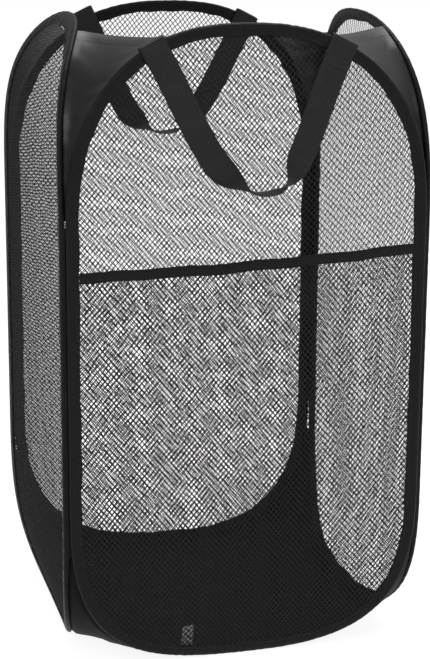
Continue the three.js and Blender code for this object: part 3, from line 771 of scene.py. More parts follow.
@dataclass(frozen=True)
class Channel:
    """Tape folded round a hoop's wire and sewn to the net: a round bead, then two legs.

    Attributes:
        width: From the bead's outer edge to the legs' inner edge.
        bead: Radius of the bead.
        leg: Half of the legs' thickness at their inner edge.
        seam: Inset of the seam that holds the net.
        step: Spacing of the mesh along the hoop.
        pucker: Depth of the puckers that the stitches draw.
        crumple: How far the legs wander through the wall.
        sway: How far the legs' inner edge wanders.
        bead_wander: How far the bead wanders.
        stitch: Length of a stitch.
        stitch_gap: From one stitch to the next.
        stitch_step: Spacing of the places from which the stitches are laid out.
        thread: Width of the sewing thread.
        seam_out: How far its bead is drawn out to the corner seam, where two walls are sewn together.
        seam_reach: How much of the bead is drawn out, as a distance round its section.
        seam_fade: Stretch of the head arc and of the foot arc over which the seam ends.
    """

    width: float = 11.5
    bead: float = 2.6
    leg: float = 1.6
    seam: float = 9.0
    step: float = 1.5
    pucker: float = 0.22
    crumple: float = 0.25
    sway: float = 0.35
    bead_wander: float = 0.12
    stitch: float = 2.3
    stitch_gap: float = 1.1
    stitch_step: float = 0.5
    thread: float = 0.5
    seam_out: float = 0.15
    seam_reach: float = 0.9
    seam_fade: tuple[float, float] = (22.0, 84.0)

    def section(self) -> list[tuple[float, float]]:
        """Lays out the folded tape's section.

        Returns:
            Pairs of an inset and a distance from the wall's middle face.
        """
        leg = [(self.width, self.leg - 0.5), (self.width - 0.4, self.leg - 0.1), (self.width - 1.2, self.leg),
               (self.seam + 0.6, self.leg), (self.seam, self.leg - 0.4), (self.seam - 0.6, self.leg + 0.05),
               (self.seam - 2.2, self.leg + 0.3), (self.bead * 2, self.bead - 0.35)]
        bead = [(self.bead * (1 - math.sin(turn)), self.bead * math.cos(turn))
                for turn in np.radians(np.linspace(0, 180, 13))]
        return leg + bead + [(inset, -through) for inset, through in reversed(leg)]

    def build(self, wall: Wall) -> None:
        """Builds the tape and its stitches on one wall.

        Args:
            wall: The wall whose hoop it is folded round.
        """
        points, inwards = HOOP.outline(self.step)
        count = len(points)
        run = np.arange(count) * self.step
        # The wander joins up with itself because it is read off a circle as long as the hoop
        turn = 2 * math.pi * np.arange(count) / count
        girth = count * self.step / (2 * math.pi)
        circle = girth * np.cos(turn), girth * np.sin(turn)
        soft = Ripple(11 + wall.side.value, 34.0).at(*circle)
        fine = Ripple(31 + wall.side.value, 9.0).at(*circle)
        pull = np.sin(2 * math.pi * run / (self.stitch + self.stitch_gap))
        # Where the sides are straight, the bead is sewn to the next wall's along the fold line
        up = points[:, 1]
        seam_low = HOOP.foot_arc - self.seam_fade[1]
        sewn = (smooth_step(HOOP.spring + self.seam_fade[0], HOOP.spring, up)
                * smooth_step(seam_low, seam_low + self.seam_fade[1] / 2, up))
        corner = np.array([-self.seam_out, self.bead + self.seam_out])
        rows = []
        for inset, through in self.section():
            legs = smooth_step(self.bead, self.seam, inset)
            side = math.copysign(1, through) if through else 0
            deep = through + side * legs * (self.pucker * pull + self.crumple * fine)
            wide = inset + legs * self.sway * soft + (1 - legs) * self.bead_wander * fine
            near = math.hypot(inset - self.bead * CORNER_SHARES[0], through - self.bead * CORNER_SHARES[1])
            drawn = sewn * math.exp(-(near / self.seam_reach) ** 2)
            wide = wide + (corner[0] - wide) * drawn
            deep = deep + (corner[1] - deep) * drawn
            spot = points + inwards * wide[:, None]
            rows.append(wall.place(spot[:, 0], spot[:, 1], deep))
        skin = Skin(f"{wall.name}_channel_tape")
        skin.grid(np.stack(rows, 1), ring=True, loop=True)
        tape = skin.finish(POLYESTER_TAPE, "channel_fabric", wall.body)
        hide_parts(f"{wall.name}_hoop_channel")
        self.sew(wall)

    def sew(self, wall: Wall) -> None:
        """Adds the row of stitches on both faces of the seam.

        Args:
            wall: The wall whose channel is sewn.
        """
        points, inwards = HOOP.outline(self.stitch_step)
        pitch = self.stitch + self.stitch_gap
        length = len(points) * self.stitch_step
        starts = np.arange(0, length - pitch, pitch)
        skin = Skin(f"{wall.name}_channel_stitches")
        places = points + inwards * self.seam
        run = np.arange(len(places)) * self.stitch_step
        for side in (-1, 1):
            ends = []
            for offset in (0.0, self.stitch):
                spot = read_path(places, run, starts + offset)
                ends.append(wall.place(spot[:, 0], spot[:, 1], side * (self.leg - 0.3)))
            add_stitches(skin, wall, side, ends, self.thread)
        skin.finish(SEWING_THREAD, "channel_fabric", wall.body)


KNOT_SHARES = (0.97, 1.02)    # how far a diamond's side tips and its upper and lower tips reach


@dataclass(frozen=True)
class Net:
    """Warp-knitted net with diamond gaps.

    Attributes:
        gap_width: Width of a diamond, from knot to knot.
        gap_height: Height of a diamond.
        skew: How much its rows rise to the right, because the cloth wasn't cut along them.
        yarn: Width of the yarn between two gaps.
        half_thickness: Half of the yarn's thickness.
        edge_inset: Inset of the outermost diamonds' middles, inside the channel.
        through: Place of the net in its wall.
        wander: How far the knots stray.
        broad_stray: Size of the patches in which they stray together.
        fine_stray: Size of the smaller patches in them.
        outline_step: Spacing of the outline's places that a diamond is tested against.
    """

    gap_width: float = 5.15
    gap_height: float = 6.1
    skew: float = 0.15
    yarn: float = 0.78
    half_thickness: float = 0.22
    edge_inset: float = 8.0
    through: float = 0.4
    wander: float = 0.28
    broad_stray: float = 70.0
    fine_stray: float = 16.0
    outline_step: float = 8.0

    def cells(self, top: Callable[[np.ndarray], np.ndarray]) -> np.ndarray:
        """Finds the diamonds whose middles lie well inside the outline and below an edge.

        Args:
            top: Gives the height of that edge at places across the wall.

        Returns:
            The column and row of each.
        """
        columns = math.ceil(2 * HOOP.half_width / self.gap_width)
        margin = math.ceil(2 * self.skew * HOOP.half_width / self.gap_height)
        rows = math.ceil(2 * HOOP.height / self.gap_height)
        row, column = np.meshgrid(np.arange(-margin, rows + margin), np.arange(-columns, columns + 1),
                                  indexing="ij")
        column, row = column[(row + column) % 2 == 1], row[(row + column) % 2 == 1]
        across, up = self.spread(np.stack([column, row], -1)).T
        outline, inwards = HOOP.outline(self.outline_step)
        edge = outline + inwards * self.edge_inset
        after = np.roll(edge, -1, 0) - edge
        side = after[:, 0] * (up[:, None] - edge[:, 1]) - after[:, 1] * (across[:, None] - edge[:, 0])
        kept = (side > 0).all(1) & (up < top(across))
        return np.stack([column[kept], row[kept]], -1)

    def spread(self, places: np.ndarray) -> np.ndarray:
        """Returns across and up for columns and rows of the net."""
        across = places[:, 0] * self.gap_width / 2
        return np.stack([across, places[:, 1] * self.gap_height / 2 + self.skew * across], -1)

    def weave(self, skin: Skin, wall: Wall, seed: int, top: Callable[[np.ndarray], np.ndarray],
              through: Callable[[np.ndarray, np.ndarray], np.ndarray]) -> float:
        """Adds the net's yarns to a mesh.

        Args:
            skin: The mesh that gets them.
            wall: The wall that it hangs in.
            seed: Seed of the knots' wander.
            top: Gives the height of its upper edge at places across the wall.
            through: Gives its place through the wall at places across and up it.

        Returns:
            The yarns' flat area, in square metres.
        """
        cell = self.cells(top)
        steps = np.array([[-1, 0], [0, -1], [1, 0], [0, 1]])
        corner = cell[:, None] + steps
        knots, index = np.unique(corner.reshape(-1, 2), axis=0, return_inverse=True)
        index = index.reshape(-1, 4)
        flat = self.spread(knots)
        sizes = (self.broad_stray, self.broad_stray, self.fine_stray, self.fine_stray)
        drift = [Ripple(seed + turn, size).at(*flat.T) for turn, size in enumerate(sizes)]
        shaken = np.random.RandomState(seed).normal(0, 0.35 * self.wander, flat.shape)
        stray = np.stack([drift[0] + 0.6 * drift[2], drift[1] + 0.6 * drift[3]], -1)
        moved = flat + self.wander * stray + shaken
        middle = moved[index].mean(1)
        diagonal = math.hypot(self.gap_width, self.gap_height) / (self.gap_width * self.gap_height)
        open_share = 1 - self.yarn * diagonal
        # A knot is wider than the yarns that meet there, most of all up and down
        shares = open_share * np.array(KNOT_SHARES * 2)
        hole = middle[:, None] + (moved[index] - middle[:, None]) * shares[None, :, None]
        holes = hole.reshape(-1, 2)
        count = len(knots)
        place = through(*moved.T)
        hole_place = through(*holes.T)
        points = np.concatenate([wall.place(*moved.T, place + self.half_thickness),
                                 wall.place(*moved.T, place - self.half_thickness),
                                 wall.place(*holes.T, hole_place)])
        rim = 2 * count + np.arange(len(cell) * 4).reshape(-1, 4)
        after = [1, 2, 3, 0]
        inner = np.stack([index, index[:, after], rim[:, after], rim], -1).reshape(-1, 4)
        outer = np.stack([index + count, rim, rim[:, after], index[:, after] + count], -1).reshape(-1, 4)
        # Yarns that have a diamond on one side only are closed along their other side
        ends = np.stack([index, index[:, after]], -1).reshape(-1, 2)
        _, place_of, uses = np.unique(np.sort(ends, 1), axis=0, return_inverse=True, return_counts=True)
        begin, end = ends[uses[place_of.ravel()] == 1].T
        border = np.stack([end, begin, begin + count, end + count], -1)
        faces = np.concatenate([inner, outer, border])
        flat_all = np.concatenate([moved, moved, holes])
        bake = (flat_all[faces] - flat_all.min(0)) / np.ptp(flat_all, 0)
        bake[:, :, 0] /= 2
        bake[len(inner):, :, 0] += 0.5
        skin.add(points, faces, bake, flat_all[faces])
        return len(cell) * self.gap_width * self.gap_height / 2 * (1 - open_share ** 2) * MM * MM

    def build(self, wall: Wall) -> None:
        """Builds one wall's net.

        Args:
            wall: The wall that it hangs in.
        """
        skin = Skin(f"{wall.name}_net")
        area = self.weave(skin, wall, 100 + 10 * wall.side.value,
                          lambda across: np.full_like(across, HOOP.height),
                          lambda across, up: np.full_like(up, self.through))
        net = skin.finish(KNITTED_YARN, "mesh_fabric", wall.body)
        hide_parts(f"{wall.name}_mesh")
        f"{wall.name}_channel_tape"


@dataclass(frozen=True)
class Pocket:
    """Second net on the front wall, with a bound mouth.

    Attributes:
        mouth: Height of the mouth at the wall's middle.
        mouth_rise: How much higher its right end is, and how much lower its left end.
        slack: How far the mouth's middle stands out.
        slack_start: Height at which the pocket leaves the wall.
        hem: Height of the folded tape.
        hem_half: Half of the hem's thickness.
        hem_end: Distance from the wall's middle to the hem's ends.
        through: Place of the pocket's net where it lies on the wall.
        net_top: How far under the mouth the net ends, inside the hem.
        sway: How far the hem wanders up and down.
        crumple: How far its folds wander up and down.
        bulge: How far its faces wander in and out.
        seam: From the hem's lower edge up to its stitches.
        stitch: Length of a stitch.
        stitch_pitch: From the start of one stitch to the start of the next.
        thread: Width of the sewing thread.
    """

    mouth: float = 392.0
    mouth_rise: float = 6.5
    slack: float = 10.0
    slack_start: float = 100.0
    hem: float = 10.0
    hem_half: float = 0.85
    hem_end: float = 156.4
    through: float = -1.2
    net_top: float = 3.0
    sway: float = 0.35
    crumple: float = 0.12
    bulge: float = 0.15
    seam: float = 2.6
    stitch: float = 2.3
    stitch_pitch: float = 3.3
    thread: float = 0.45

    def slack_at(self, across: np.ndarray, up: np.ndarray) -> np.ndarray:
        """Returns how far the pocket stands out from the wall."""
        rise = np.clip((up - self.slack_start) / (self.mouth - self.hem - self.slack_start), 0, 1)
        return self.slack * np.maximum(1 - (across / self.hem_end) ** 2, 0) * rise ** 2

    def mouth_at(self, across: np.ndarray) -> np.ndarray:
        """Returns the height of the mouth at places across the wall."""
        return self.mouth + self.mouth_rise * across / self.hem_end

    def build(self, wall: Wall, net: Net) -> None:
        """Builds the pocket's net and its bound mouth.

        Args:
            wall: The wall that carries it.
            net: The net that it is cut from.
        """
        skin = Skin("pocket_net")
        area = net.weave(skin, wall, 900, lambda across: self.mouth_at(across) - self.net_top,
                         lambda across, up: self.through - self.slack_at(across, up))
        piece = skin.finish(KNITTED_YARN, "mesh_fabric", wall.body)
        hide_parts("pocket_mesh")
        hem = self.build_hem(wall)

    def build_hem(self, wall: Wall) -> bpy.types.Object:
        """Builds the tape folded over the pocket's upper edge, and its stitches.

        Args:
            wall: The wall that carries the pocket.

        Returns:
            The tape.
        """
        across = np.linspace(-self.hem_end, self.hem_end, 260)
        ripple = Ripple(77, 45.0)
        fine = Ripple(78, 8.0)
        half, tall, seam = self.hem_half, self.hem, self.seam
        profile = [(0.3 - tall, half - 0.25), (0.8 - tall, half), (seam - 0.5 - tall, half + 0.1),
                   (seam - tall, half - 0.35), (seam + 0.5 - tall, half + 0.1), (-3.0, half + 0.05),
                   (-0.9, half - 0.1), (-0.15, half / 2)]
        ring = profile + [(0.0, 0.0)] + [(up, -through) for up, through in reversed(profile)] + [(-tall, 0.0)]
        rows = []
        for up, through in ring:
            sway = self.sway * ripple.at(across, 0) + self.crumple * fine.at(across, up)
            bulge = self.bulge * fine.at(across, 3 * up) * math.copysign(1, through)
            height = self.mouth_at(across) + up + sway
            out = self.through - self.slack_at(across, np.full_like(across, self.mouth)) + through + bulge
            rows.append(wall.place(across, height, out))
        skin = Skin("pocket_mouth_tape")
        skin.grid(np.stack(rows, 1), ring=True)
        hem = skin.finish(POLYESTER_TAPE, "channel_fabric", wall.body)
        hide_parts("pocket_hem")
        threads = Skin("pocket_mouth_stitches")
        starts = np.arange(1.0 - self.hem_end, self.hem_end - 3.0, self.stitch_pitch)
        for side in (-1, 1):
            ends = []
            for offset in (0.0, self.stitch):
                x = starts + offset
                out = self.through - self.slack_at(x, np.full_like(x, self.mouth)) + side * (half - 0.2)
                ends.append(wall.place(x, self.mouth_at(x) - tall + seam + self.sway * ripple.at(x, 0), out))
            add_stitches(threads, wall, side, ends, self.thread)
        threads.finish(SEWING_THREAD, "channel_fabric", wall.body)
        return hem


@dataclass(frozen=True)
class CornerCloth:
    """Nylon between the heads of two neighbouring hoops, with a turned hem along its upper edge.

    Attributes:
        start: Height of its lowest point.
        front_hem: Height of its upper edge at the front corners.
        back_hem: Height of its upper edge at the back corners.
        back_left_rise: How much higher the back left one's upper edge is where it meets the left wall.
        press: How far its sewn edges are pressed down onto the channels.
        lap: How far it laps onto a channel.
        off_wall: Its place through the wall where it is sewn.
        over_strap: How much further in it passes over the sewn ends of the front handle.
        strap_top: Height of the outer edge of those ends.
        strap_leg: Height over which it climbs onto them.
        thickness: Thickness of the nylon.
        hem: Depth of the turned hem.
        sag: How far its middle falls in, as a share of its width.
        dip: How far its upper edge dips at its middle, as a share of its width.
        crease: Depth of its creases.
        fold_size: Usual distance between two broad folds.
        crease_size: Usual distance between two short creases.
        crease_reach: How far the short creases run in from a seam.
        loose_width: Width from which the cloth is loose enough for full creases.
        press_reach: How far from its sewn edges it is pressed down.
        turn_half: Half of the stretch at its middle that turns from one wall to the other in a fold; not
            used.
        flap_keep: How much of its depth a flap keeps at the end of a fold; not used.
        rows: Places up it.
        columns: Places across it.
    """

    start: float = 431.0
    front_hem: float = 588.0
    back_hem: float = 568.0
    back_left_rise: float = 21.0
    press: float = 1.35
    lap: float = 3.5
    off_wall: float = 3.7
    over_strap: float = 1.65
    strap_top: float = 575.6
    strap_leg: float = 14.0
    thickness: float = 0.5
    hem: float = 6.0
    sag: float = 0.05
    dip: float = 0.03
    crease: float = 1.1
    fold_size: float = 46.0
    crease_size: float = 10.0
    crease_reach: float = 14.0
    loose_width: float = 60.0
    press_reach: float = 4.0
    turn_half: float = 26.0
    flap_keep: float = 0.13
    rows: int = 70
    columns: int = 64

    def top(self, wall: Wall, before: Wall) -> float:
        """Returns the height of its upper edge between two walls."""
        return self.front_hem if Side.FRONT in (wall.side, before.side) else self.back_hem

    def through(self, wall: Wall, up: np.ndarray) -> np.ndarray:
        """Returns its place through a wall where it is sewn, at some heights."""
        over = smooth_step(self.strap_top - self.strap_leg, self.strap_top, up)
        return self.off_wall + (self.over_strap * over if wall.side is Side.FRONT else 0.0)

    def edges(self, wall: Wall, before: Wall, rise: np.ndarray) -> tuple[np.ndarray, np.ndarray, np.ndarray]:
        """Finds where the cloth is sewn to its two walls.

        Args:
            wall: The wall whose left head arc it joins.
            before: The next wall to the left, as seen from outside.
            rise: Where its rows lie, from 0 at its lowest point to 1 at its upper edge.

        Returns:
            The rows' heights, their places on wall, and their places on before, in wall's frame.
        """
        up = self.start + (self.top(wall, before) - self.start) * rise
        higher = up + (self.back_left_rise * rise ** 3 if wall.side is Side.LEFT else 0.0)
        near, far = ([-HOOP.half_width_at(height) + self.lap,
                      -HOOP.middle + self.through(side, height) + HOOP.lean(height, side.head_lean), height]
                     for side, height in ((wall, higher), (before, up)))
        return up, np.stack(near, -1), np.stack([far[1], far[0], far[2]], -1)

    def surface(self, wall: Wall, before: Wall, shares: np.ndarray) -> tuple[np.ndarray, np.ndarray]:
        """Shapes the cloth.

        Args:
            wall: The wall whose left head arc it joins.
            before: The next wall to the left, as seen from outside.
            shares: Places across it, from 0 at wall to 1 at before.

        Returns:
            Its middle places, and its thickness at each.
        """
        seed = 300 + 7 * wall.side.value
        up, near, far = self.edges(wall, before, np.sin(math.pi / 2 * np.linspace(0, 1, self.rows)))
        top = self.top(wall, before)
        share = shares[None, :, None]
        points = near[:, None] * (1 - share) + far[:, None] * share
        width = np.linalg.norm(far - near, axis=1)[:, None]
        bend = 4 * shares * (1 - shares)
        drop = (top - up)[:, None]
        # Broad folds run from one wall to the other, and short creases start at both seams
        spread = width * (shares - 0.5)
        fold = Ripple(seed, self.fold_size).at(spread * 0.45, drop + 0.25 * spread)
        crease = Ripple(seed + 1, self.crease_size).at(seed, drop + 0.35 * np.abs(spread))
        seams = np.exp(-np.minimum(shares, 1 - shares) * width / self.crease_reach) * np.sqrt(bend)
        loose = np.sqrt(np.clip(width / self.loose_width, 0, 1))
        inwards = self.sag * width * bend + self.crease * loose * (fold * bend + 0.7 * crease * seams)
        # The turned hem is thicker, but for the groove that its seam draws in
        groove = np.exp(-((drop - self.hem * 0.8) / 0.7) ** 2)
        hem_share = smooth_step(self.hem + 0.6, self.hem - 0.6, drop) - 0.5 * groove
        way_in = np.array([1.0, 1.0, 0.0]) / math.sqrt(2)
        points = points + inwards[..., None] * way_in
        over = smooth_step(self.strap_top - self.strap_leg, self.strap_top, up)[:, None]
        for side, axis, distance in ((wall, 1, shares * width), (before, 0, (1 - shares) * width)):
            least = self.press * (1 - (0.5 * over if side.side is Side.FRONT else 0.0))
            points[..., axis] -= least * np.exp(-(distance / self.press_reach) ** 2)
        # The hem's edge dips a little between its sewn ends
        points[..., 2] -= self.dip * width * bend * smooth_step(60.0, 0.0, drop)
        thickness = self.thickness * (1 + 2.2 * hem_share)
        return wall.turned(points), np.broadcast_to(thickness, points.shape[:2])

    def build(self, wall: Wall, before: Wall, name: str) -> None:
        """Builds one corner as a single cloth.

        Args:
            wall: The wall whose left head arc it joins.
            before: The next wall to the left, as seen from outside.
            name: The corner's name.
        """
        middle, thickness = self.surface(wall, before, np.linspace(0, 1, self.columns))
        skin = Skin(f"{name}_nylon")
        skin.sheet(middle, thickness)
        piece = skin.finish(CALENDERED_NYLON, "nylon_cloth", None)
        wall.body
        before.body
        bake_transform(piece)
        self.declare(wall, before, name)

    def build_halves(self, wall: Wall, before: Wall, name: str) -> None:
        """Builds one corner as two flaps that meet at its middle, where the fold leaves it open.

        Args:
            wall: The wall whose left head arc it joins.
            before: The next wall to the left, as seen from outside.
            name: The corner's name.
        """
        for half, owner, low, high in (("left", before, 0.5, 1.0), ("right", wall, 0.0, 0.5)):
            middle, thickness = self.surface(wall, before, np.linspace(low, high, self.columns // 2))
            skin = Skin(f"{name}_nylon_{half}")
            skin.sheet(middle, thickness)
            piece = skin.finish(CALENDERED_NYLON, "nylon_cloth", owner.body)
            out = owner.turned(np.array([[0.0, 1.0, 0.0]]))[0]
            anchor = owner.place(0.0, HOOP.spring, self.off_wall) * MM
            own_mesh(piece)
            self.declare(wall, before, name)

    def declare(self, wall: Wall, before: Wall, name: str) -> None:
        """Hides the node that the cloth stands for.

        Args:
            wall: The wall whose left head arc it joins.
            before: The next wall to the left, as seen from outside.
            name: The corner's name.
        """
        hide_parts(f"{name}_corner_cloth")
        _, near, far = self.edges(wall, before, np.linspace(0, 1, 60))
        f"{wall.name}_channel_tape"
        f"{before.name}_channel_tape"


@dataclass(frozen=True)
class BaseCloth:
    """One cloth under the whole hamper, whose corners rise with the foot arcs.

    Attributes:
        flat_half: Half of the edge that lies flat under each wall.
        corner_end: How far short of the corner it ends.
        edge: Distance of its edge from the hamper's axis where the walls don't lean.
        tuck: How far its edge turns up to meet the middle of the hoops' beads.
        thickness: Thickness of the cloth.
        crease: Depth of its creases.
        broad_size: Usual distance between two broad creases.
        short_size: Usual distance between two short creases.
        seam_allowance: How much wider than its edge it is cut, on each side; not used.
        cut_share: How much of that square is left once its corners are rounded, by estimate; not used.
        fold: Degrees through which the hamper folds; not used.
        places: Places along each edge.
    """

    flat_half: float = 30.0
    corner_end: float = 2.0
    edge: float = 169.3
    tuck: float = 2.5
    thickness: float = 1.0
    crease: float = 0.9
    broad_size: float = 60.0
    short_size: float = 24.0
    seam_allowance: float = 12.0
    cut_share: float = 0.86
    fold: float = 60.0
    places: int = 121

    def build(self) -> None:
        """Builds the cloth as one sheet."""
        along = np.linspace(0, HOOP.half_width - self.corner_end, 400)
        lift = np.maximum(HOOP.foot_height_at(along) - HOOP.foot_height_at(np.array(self.flat_half)), 0)
        rim = self.edge - HOOP.lean(HOOP.foot_height_at(along), 0.0)
        reach = along + rim
        even = np.sin(np.linspace(-1, 1, self.places) * math.pi / 2)
        a, b = np.meshgrid(even, even, indexing="ij")
        x, y = a * self.edge, b * self.edge
        # Each edge's place depends on how far along the other it is, so both are settled in turns
        for _ in range(12):
            x = a * np.interp(np.abs(y), along, rim)
            y = b * np.interp(np.abs(x), along, rim)
        far = np.abs(x) + np.abs(y)
        z = np.interp(far, reach, lift)
        corner = smooth_step(reach[0] + 12, reach[-1] - 40, far)
        ripple = Ripple(501, self.broad_size).at(x, y) * 0.8 + Ripple(502, self.short_size).at(x, y) * 0.3
        share = np.maximum(np.abs(a), np.abs(b))
        z = z + self.crease * (1 + ripple) * smooth_step(0.98, 0.8, share) * (0.35 + corner)
        # The rim turns up to the middle of the beads, square to the foot arcs
        slope = np.interp(far, reach, np.gradient(lift, along))
        steep = np.sqrt(1 + slope ** 2)
        beside_x, beside_y = (smooth_step(0.965, 1.0, np.abs(value)) for value in (a, b))
        x = x - np.sign(x) * self.tuck * slope / steep * beside_y
        y = y - np.sign(y) * self.tuck * slope / steep * beside_x
        z = z + self.tuck / steep * np.maximum(beside_x, beside_y)
        skin = Skin("base_oxford")
        skin.sheet(np.stack([x, y, z + self.thickness / 2], -1), self.thickness)
        piece = skin.finish(COATED_OXFORD, "nylon_cloth", "base")
        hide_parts("base_cloth")
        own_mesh(piece)
        [f"{wall.name}_channel_tape" for wall in WALLS.values()]


RIB_PLACES = 6            # places along each rib of the webbing
WEB_COLUMNS = 13          # places across the webbing


@dataclass(frozen=True)
class Handle:
    """Webbing strap whose two ends are folded over a hoop's head and sewn, and whose middle hangs.

    Attributes:
        side: -1 where it hangs outside its wall and 1 where it hangs inside.
        drop: From its sewn ends down to its lowest point.
        sideways: How far its lowest point is off the middle.
        width: Width of the webbing.
        thickness: Thickness of the webbing.
        spacing: Between the middles of its two ends.
        off_wall: From the wall's middle face to the webbing's near face.
        sewn: Length of the leg that the loop hangs from.
        turned: Length of the leg that is turned over to the other face.
        fall: Stretch that falls straight from each seam.
        round: Half of the rounding at its lowest point.
        rib: Spacing of its ribs.
        rib_depth: Depth of its ribs.
        loose: How far each sewn end stands above its hoop.
        twist_shares: Shares of the loop, from each end, between which it turns edge on.
        bend_leg: Stretch under the hinge over which the loop bends as it swings; not used.
        rows: Distances of the two rows of stitches from the hoop's outline.
        stitch: Length of a stitch.
        stitch_pitch: From the start of one stitch to the start of the next.
        thread: Width of the sewing thread.
    """

    side: int
    drop: float
    sideways: float
    width: float = 25.0
    thickness: float = 1.2
    spacing: float = 176.0
    off_wall: float = 3.05
    sewn: float = 25.0
    turned: float = 14.0
    fall: float = 55.0
    round: float = 38.0
    rib: float = 2.2
    rib_depth: float = 0.2
    loose: tuple[float, float] = (0.0, 0.0)
    twist_shares: tuple[float, float] = (0.26, 0.46)
    bend_leg: float = 9.0
    rows: tuple[float, float] = (4.0, 9.0)
    stitch: float = 2.2
    stitch_pitch: float = 3.2
    thread: float = 0.5

    def section(self, run: np.ndarray) -> tuple[np.ndarray, np.ndarray]:
        """Lays out the ribbed webbing's section at each distance along it.

        Args:
            run: Distances along the webbing.

        Returns:
            Places across the webbing, and places through it.
        """
        across = np.linspace(-1, 1, WEB_COLUMNS)
        edge = 1 - np.abs(across) ** 12
        rib = self.rib_depth * np.cos(2 * math.pi * run / self.rib)[:, None]
        warp = 0.05 * np.cos(across * 6 * math.pi)
        over = self.thickness / 2 * (0.35 + 0.65 * edge) + (rib + warp) * edge
        wide = np.broadcast_to(across * self.width / 2, over.shape)
        return np.concatenate([wide, wide[:, ::-1]], 1), np.concatenate([over, -over[:, ::-1]], 1)

    def build(self, wall: Wall, ends: tuple[str, str]) -> None:
        """Builds the loop and both sewn ends.

        Args:
            wall: The wall that it hangs on.
            ends: Names of its ends, from the wall's left to its right as seen from outside.
        """
        self.build_loop(wall)
        for end, loose, across in zip(ends, self.loose, (-self.spacing / 2, self.spacing / 2)):
            self.build_end(wall, end, across, loose)

    def build_loop(self, wall: Wall) -> None:
        """Builds the hanging loop, flat at its ends and edge on at its lowest point.

        Args:
            wall: The wall that it hangs on.
        """
        left, _, left_in = HOOP.head_frame(-self.spacing / 2)
        right, _, right_in = HOOP.head_frame(self.spacing / 2)
        start, end = left + left_in * self.sewn, right + right_in * self.sewn
        lowest = np.array([self.sideways, (left + left_in * (self.sewn + 0.3))[1] - self.drop])
        round_off = np.array([self.round, 0.0])
        curves = [(start, start + left_in * self.fall, lowest - round_off, lowest),
                  (lowest, lowest + round_off, end + right_in * self.fall, end)]
        share = np.linspace(0, 1, 2401)
        which = (share >= 0.5).astype(int)
        t = (2 * share - which)[:, None]
        control = np.array(curves)[which]
        path = (control[:, 0] * (1 - t) ** 3 + 3 * control[:, 1] * t * (1 - t) ** 2
                + 3 * control[:, 2] * t * t * (1 - t) + control[:, 3] * t ** 3)
        run = path_run(path)
        even = np.linspace(0, run[-1], math.ceil(run[-1] / (self.rib / RIB_PLACES)))
        path = read_path(path, run, even)
        share = np.interp(even, run, share)
        along = unit(np.gradient(path, axis=0))
        turned = smooth_step(*self.twist_shares, np.minimum(share, 1 - share)) * math.pi / 2
        wide, thick = self.section(even)
        cos, sin = np.cos(turned)[:, None], np.sin(turned)[:, None]
        flat = wide * cos - thick * sin
        deep = wide * sin + thick * cos
        middle = self.off_wall + self.thickness / 2 + self.width / 2 * np.sin(turned)[:, None]
        points = wall.place(path[:, :1] - along[:, 1:] * flat, path[:, 1:] + along[:, :1] * flat,
                            self.side * (middle + deep))
        skin = Skin(f"{wall.name}_handle_webbing")
        skin.grid(points, ring=True)
        piece = skin.finish(RIBBED_WEBBING, "webbing", None)
        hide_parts(f"{wall.name}_handle_loop")
        hinge = wall.place(0.0, (start + end)[1] / 2, self.side * middle[0, 0]) * MM
        wall.body
        f"{wall.name}_handle"
        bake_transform(piece)

    def build_end(self, wall: Wall, end: str, across: float, loose: float) -> None:
        """Builds one end, folded over the hoop's head, with its two rows of stitches.

        Args:
            wall: The wall that it is sewn to.
            end: The end's name.
            across: Its place across the wall.
            loose: How far it stands above its hoop.
        """
        point, along, inwards = HOOP.head_frame(across)
        face = self.off_wall + self.thickness / 2
        legs = [(self.turned, -face), (self.turned / 2, -face), (1.5, -face + 0.1)]
        narrow = face * (1 - min(loose / 12, 0.65))
        over = [(-1.4 - loose - 0.9 * math.cos(turn), narrow * math.sin(turn))
                for turn in np.radians(np.linspace(-65, 65, 9))]
        path = np.array(legs + over + [(1.5, face - 0.1), (self.sewn / 2, face), (self.sewn, face)])
        run = path_run(path)
        even = np.linspace(0, run[-1], math.ceil(run[-1] / (self.rib / RIB_PLACES)))
        path = read_path(path, run, even)
        way = unit(np.gradient(path, axis=0))
        wide, thick = self.section(even - run[-1])
        # The webbing's thickness lies across its way over the hoop
        inset = path[:, :1] + way[:, 1:] * thick
        through = self.side * (path[:, 1:] - way[:, :1] * thick)
        spot = point + inset[..., None] * inwards + wide[..., None] * along
        skin = Skin(f"{wall.name}_handle_{end}_fold")
        skin.grid(wall.place(spot[..., 0], spot[..., 1], through), ring=True)
        piece = skin.finish(RIBBED_WEBBING, "webbing", wall.body)
        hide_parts(f"{wall.name}_handle_{end}_end")
        threads = Skin(f"{wall.name}_handle_{end}_stitches")
        starts = np.arange(2.0 - self.width / 2, self.width / 2 - 3.0, self.stitch_pitch)
        for row in self.rows:
            for leg in (-1, 1):
                ends = []
                for offset in (0.0, self.stitch):
                    at = point + inwards * row + along * (starts + offset)[:, None]
                    ends.append(wall.place(at[:, 0], at[:, 1], leg * (self.off_wall + self.thickness + 0.05)))
                add_stitches(threads, wall, leg, ends, self.thread)
        threads.finish(SEWING_THREAD, "webbing", wall.body)


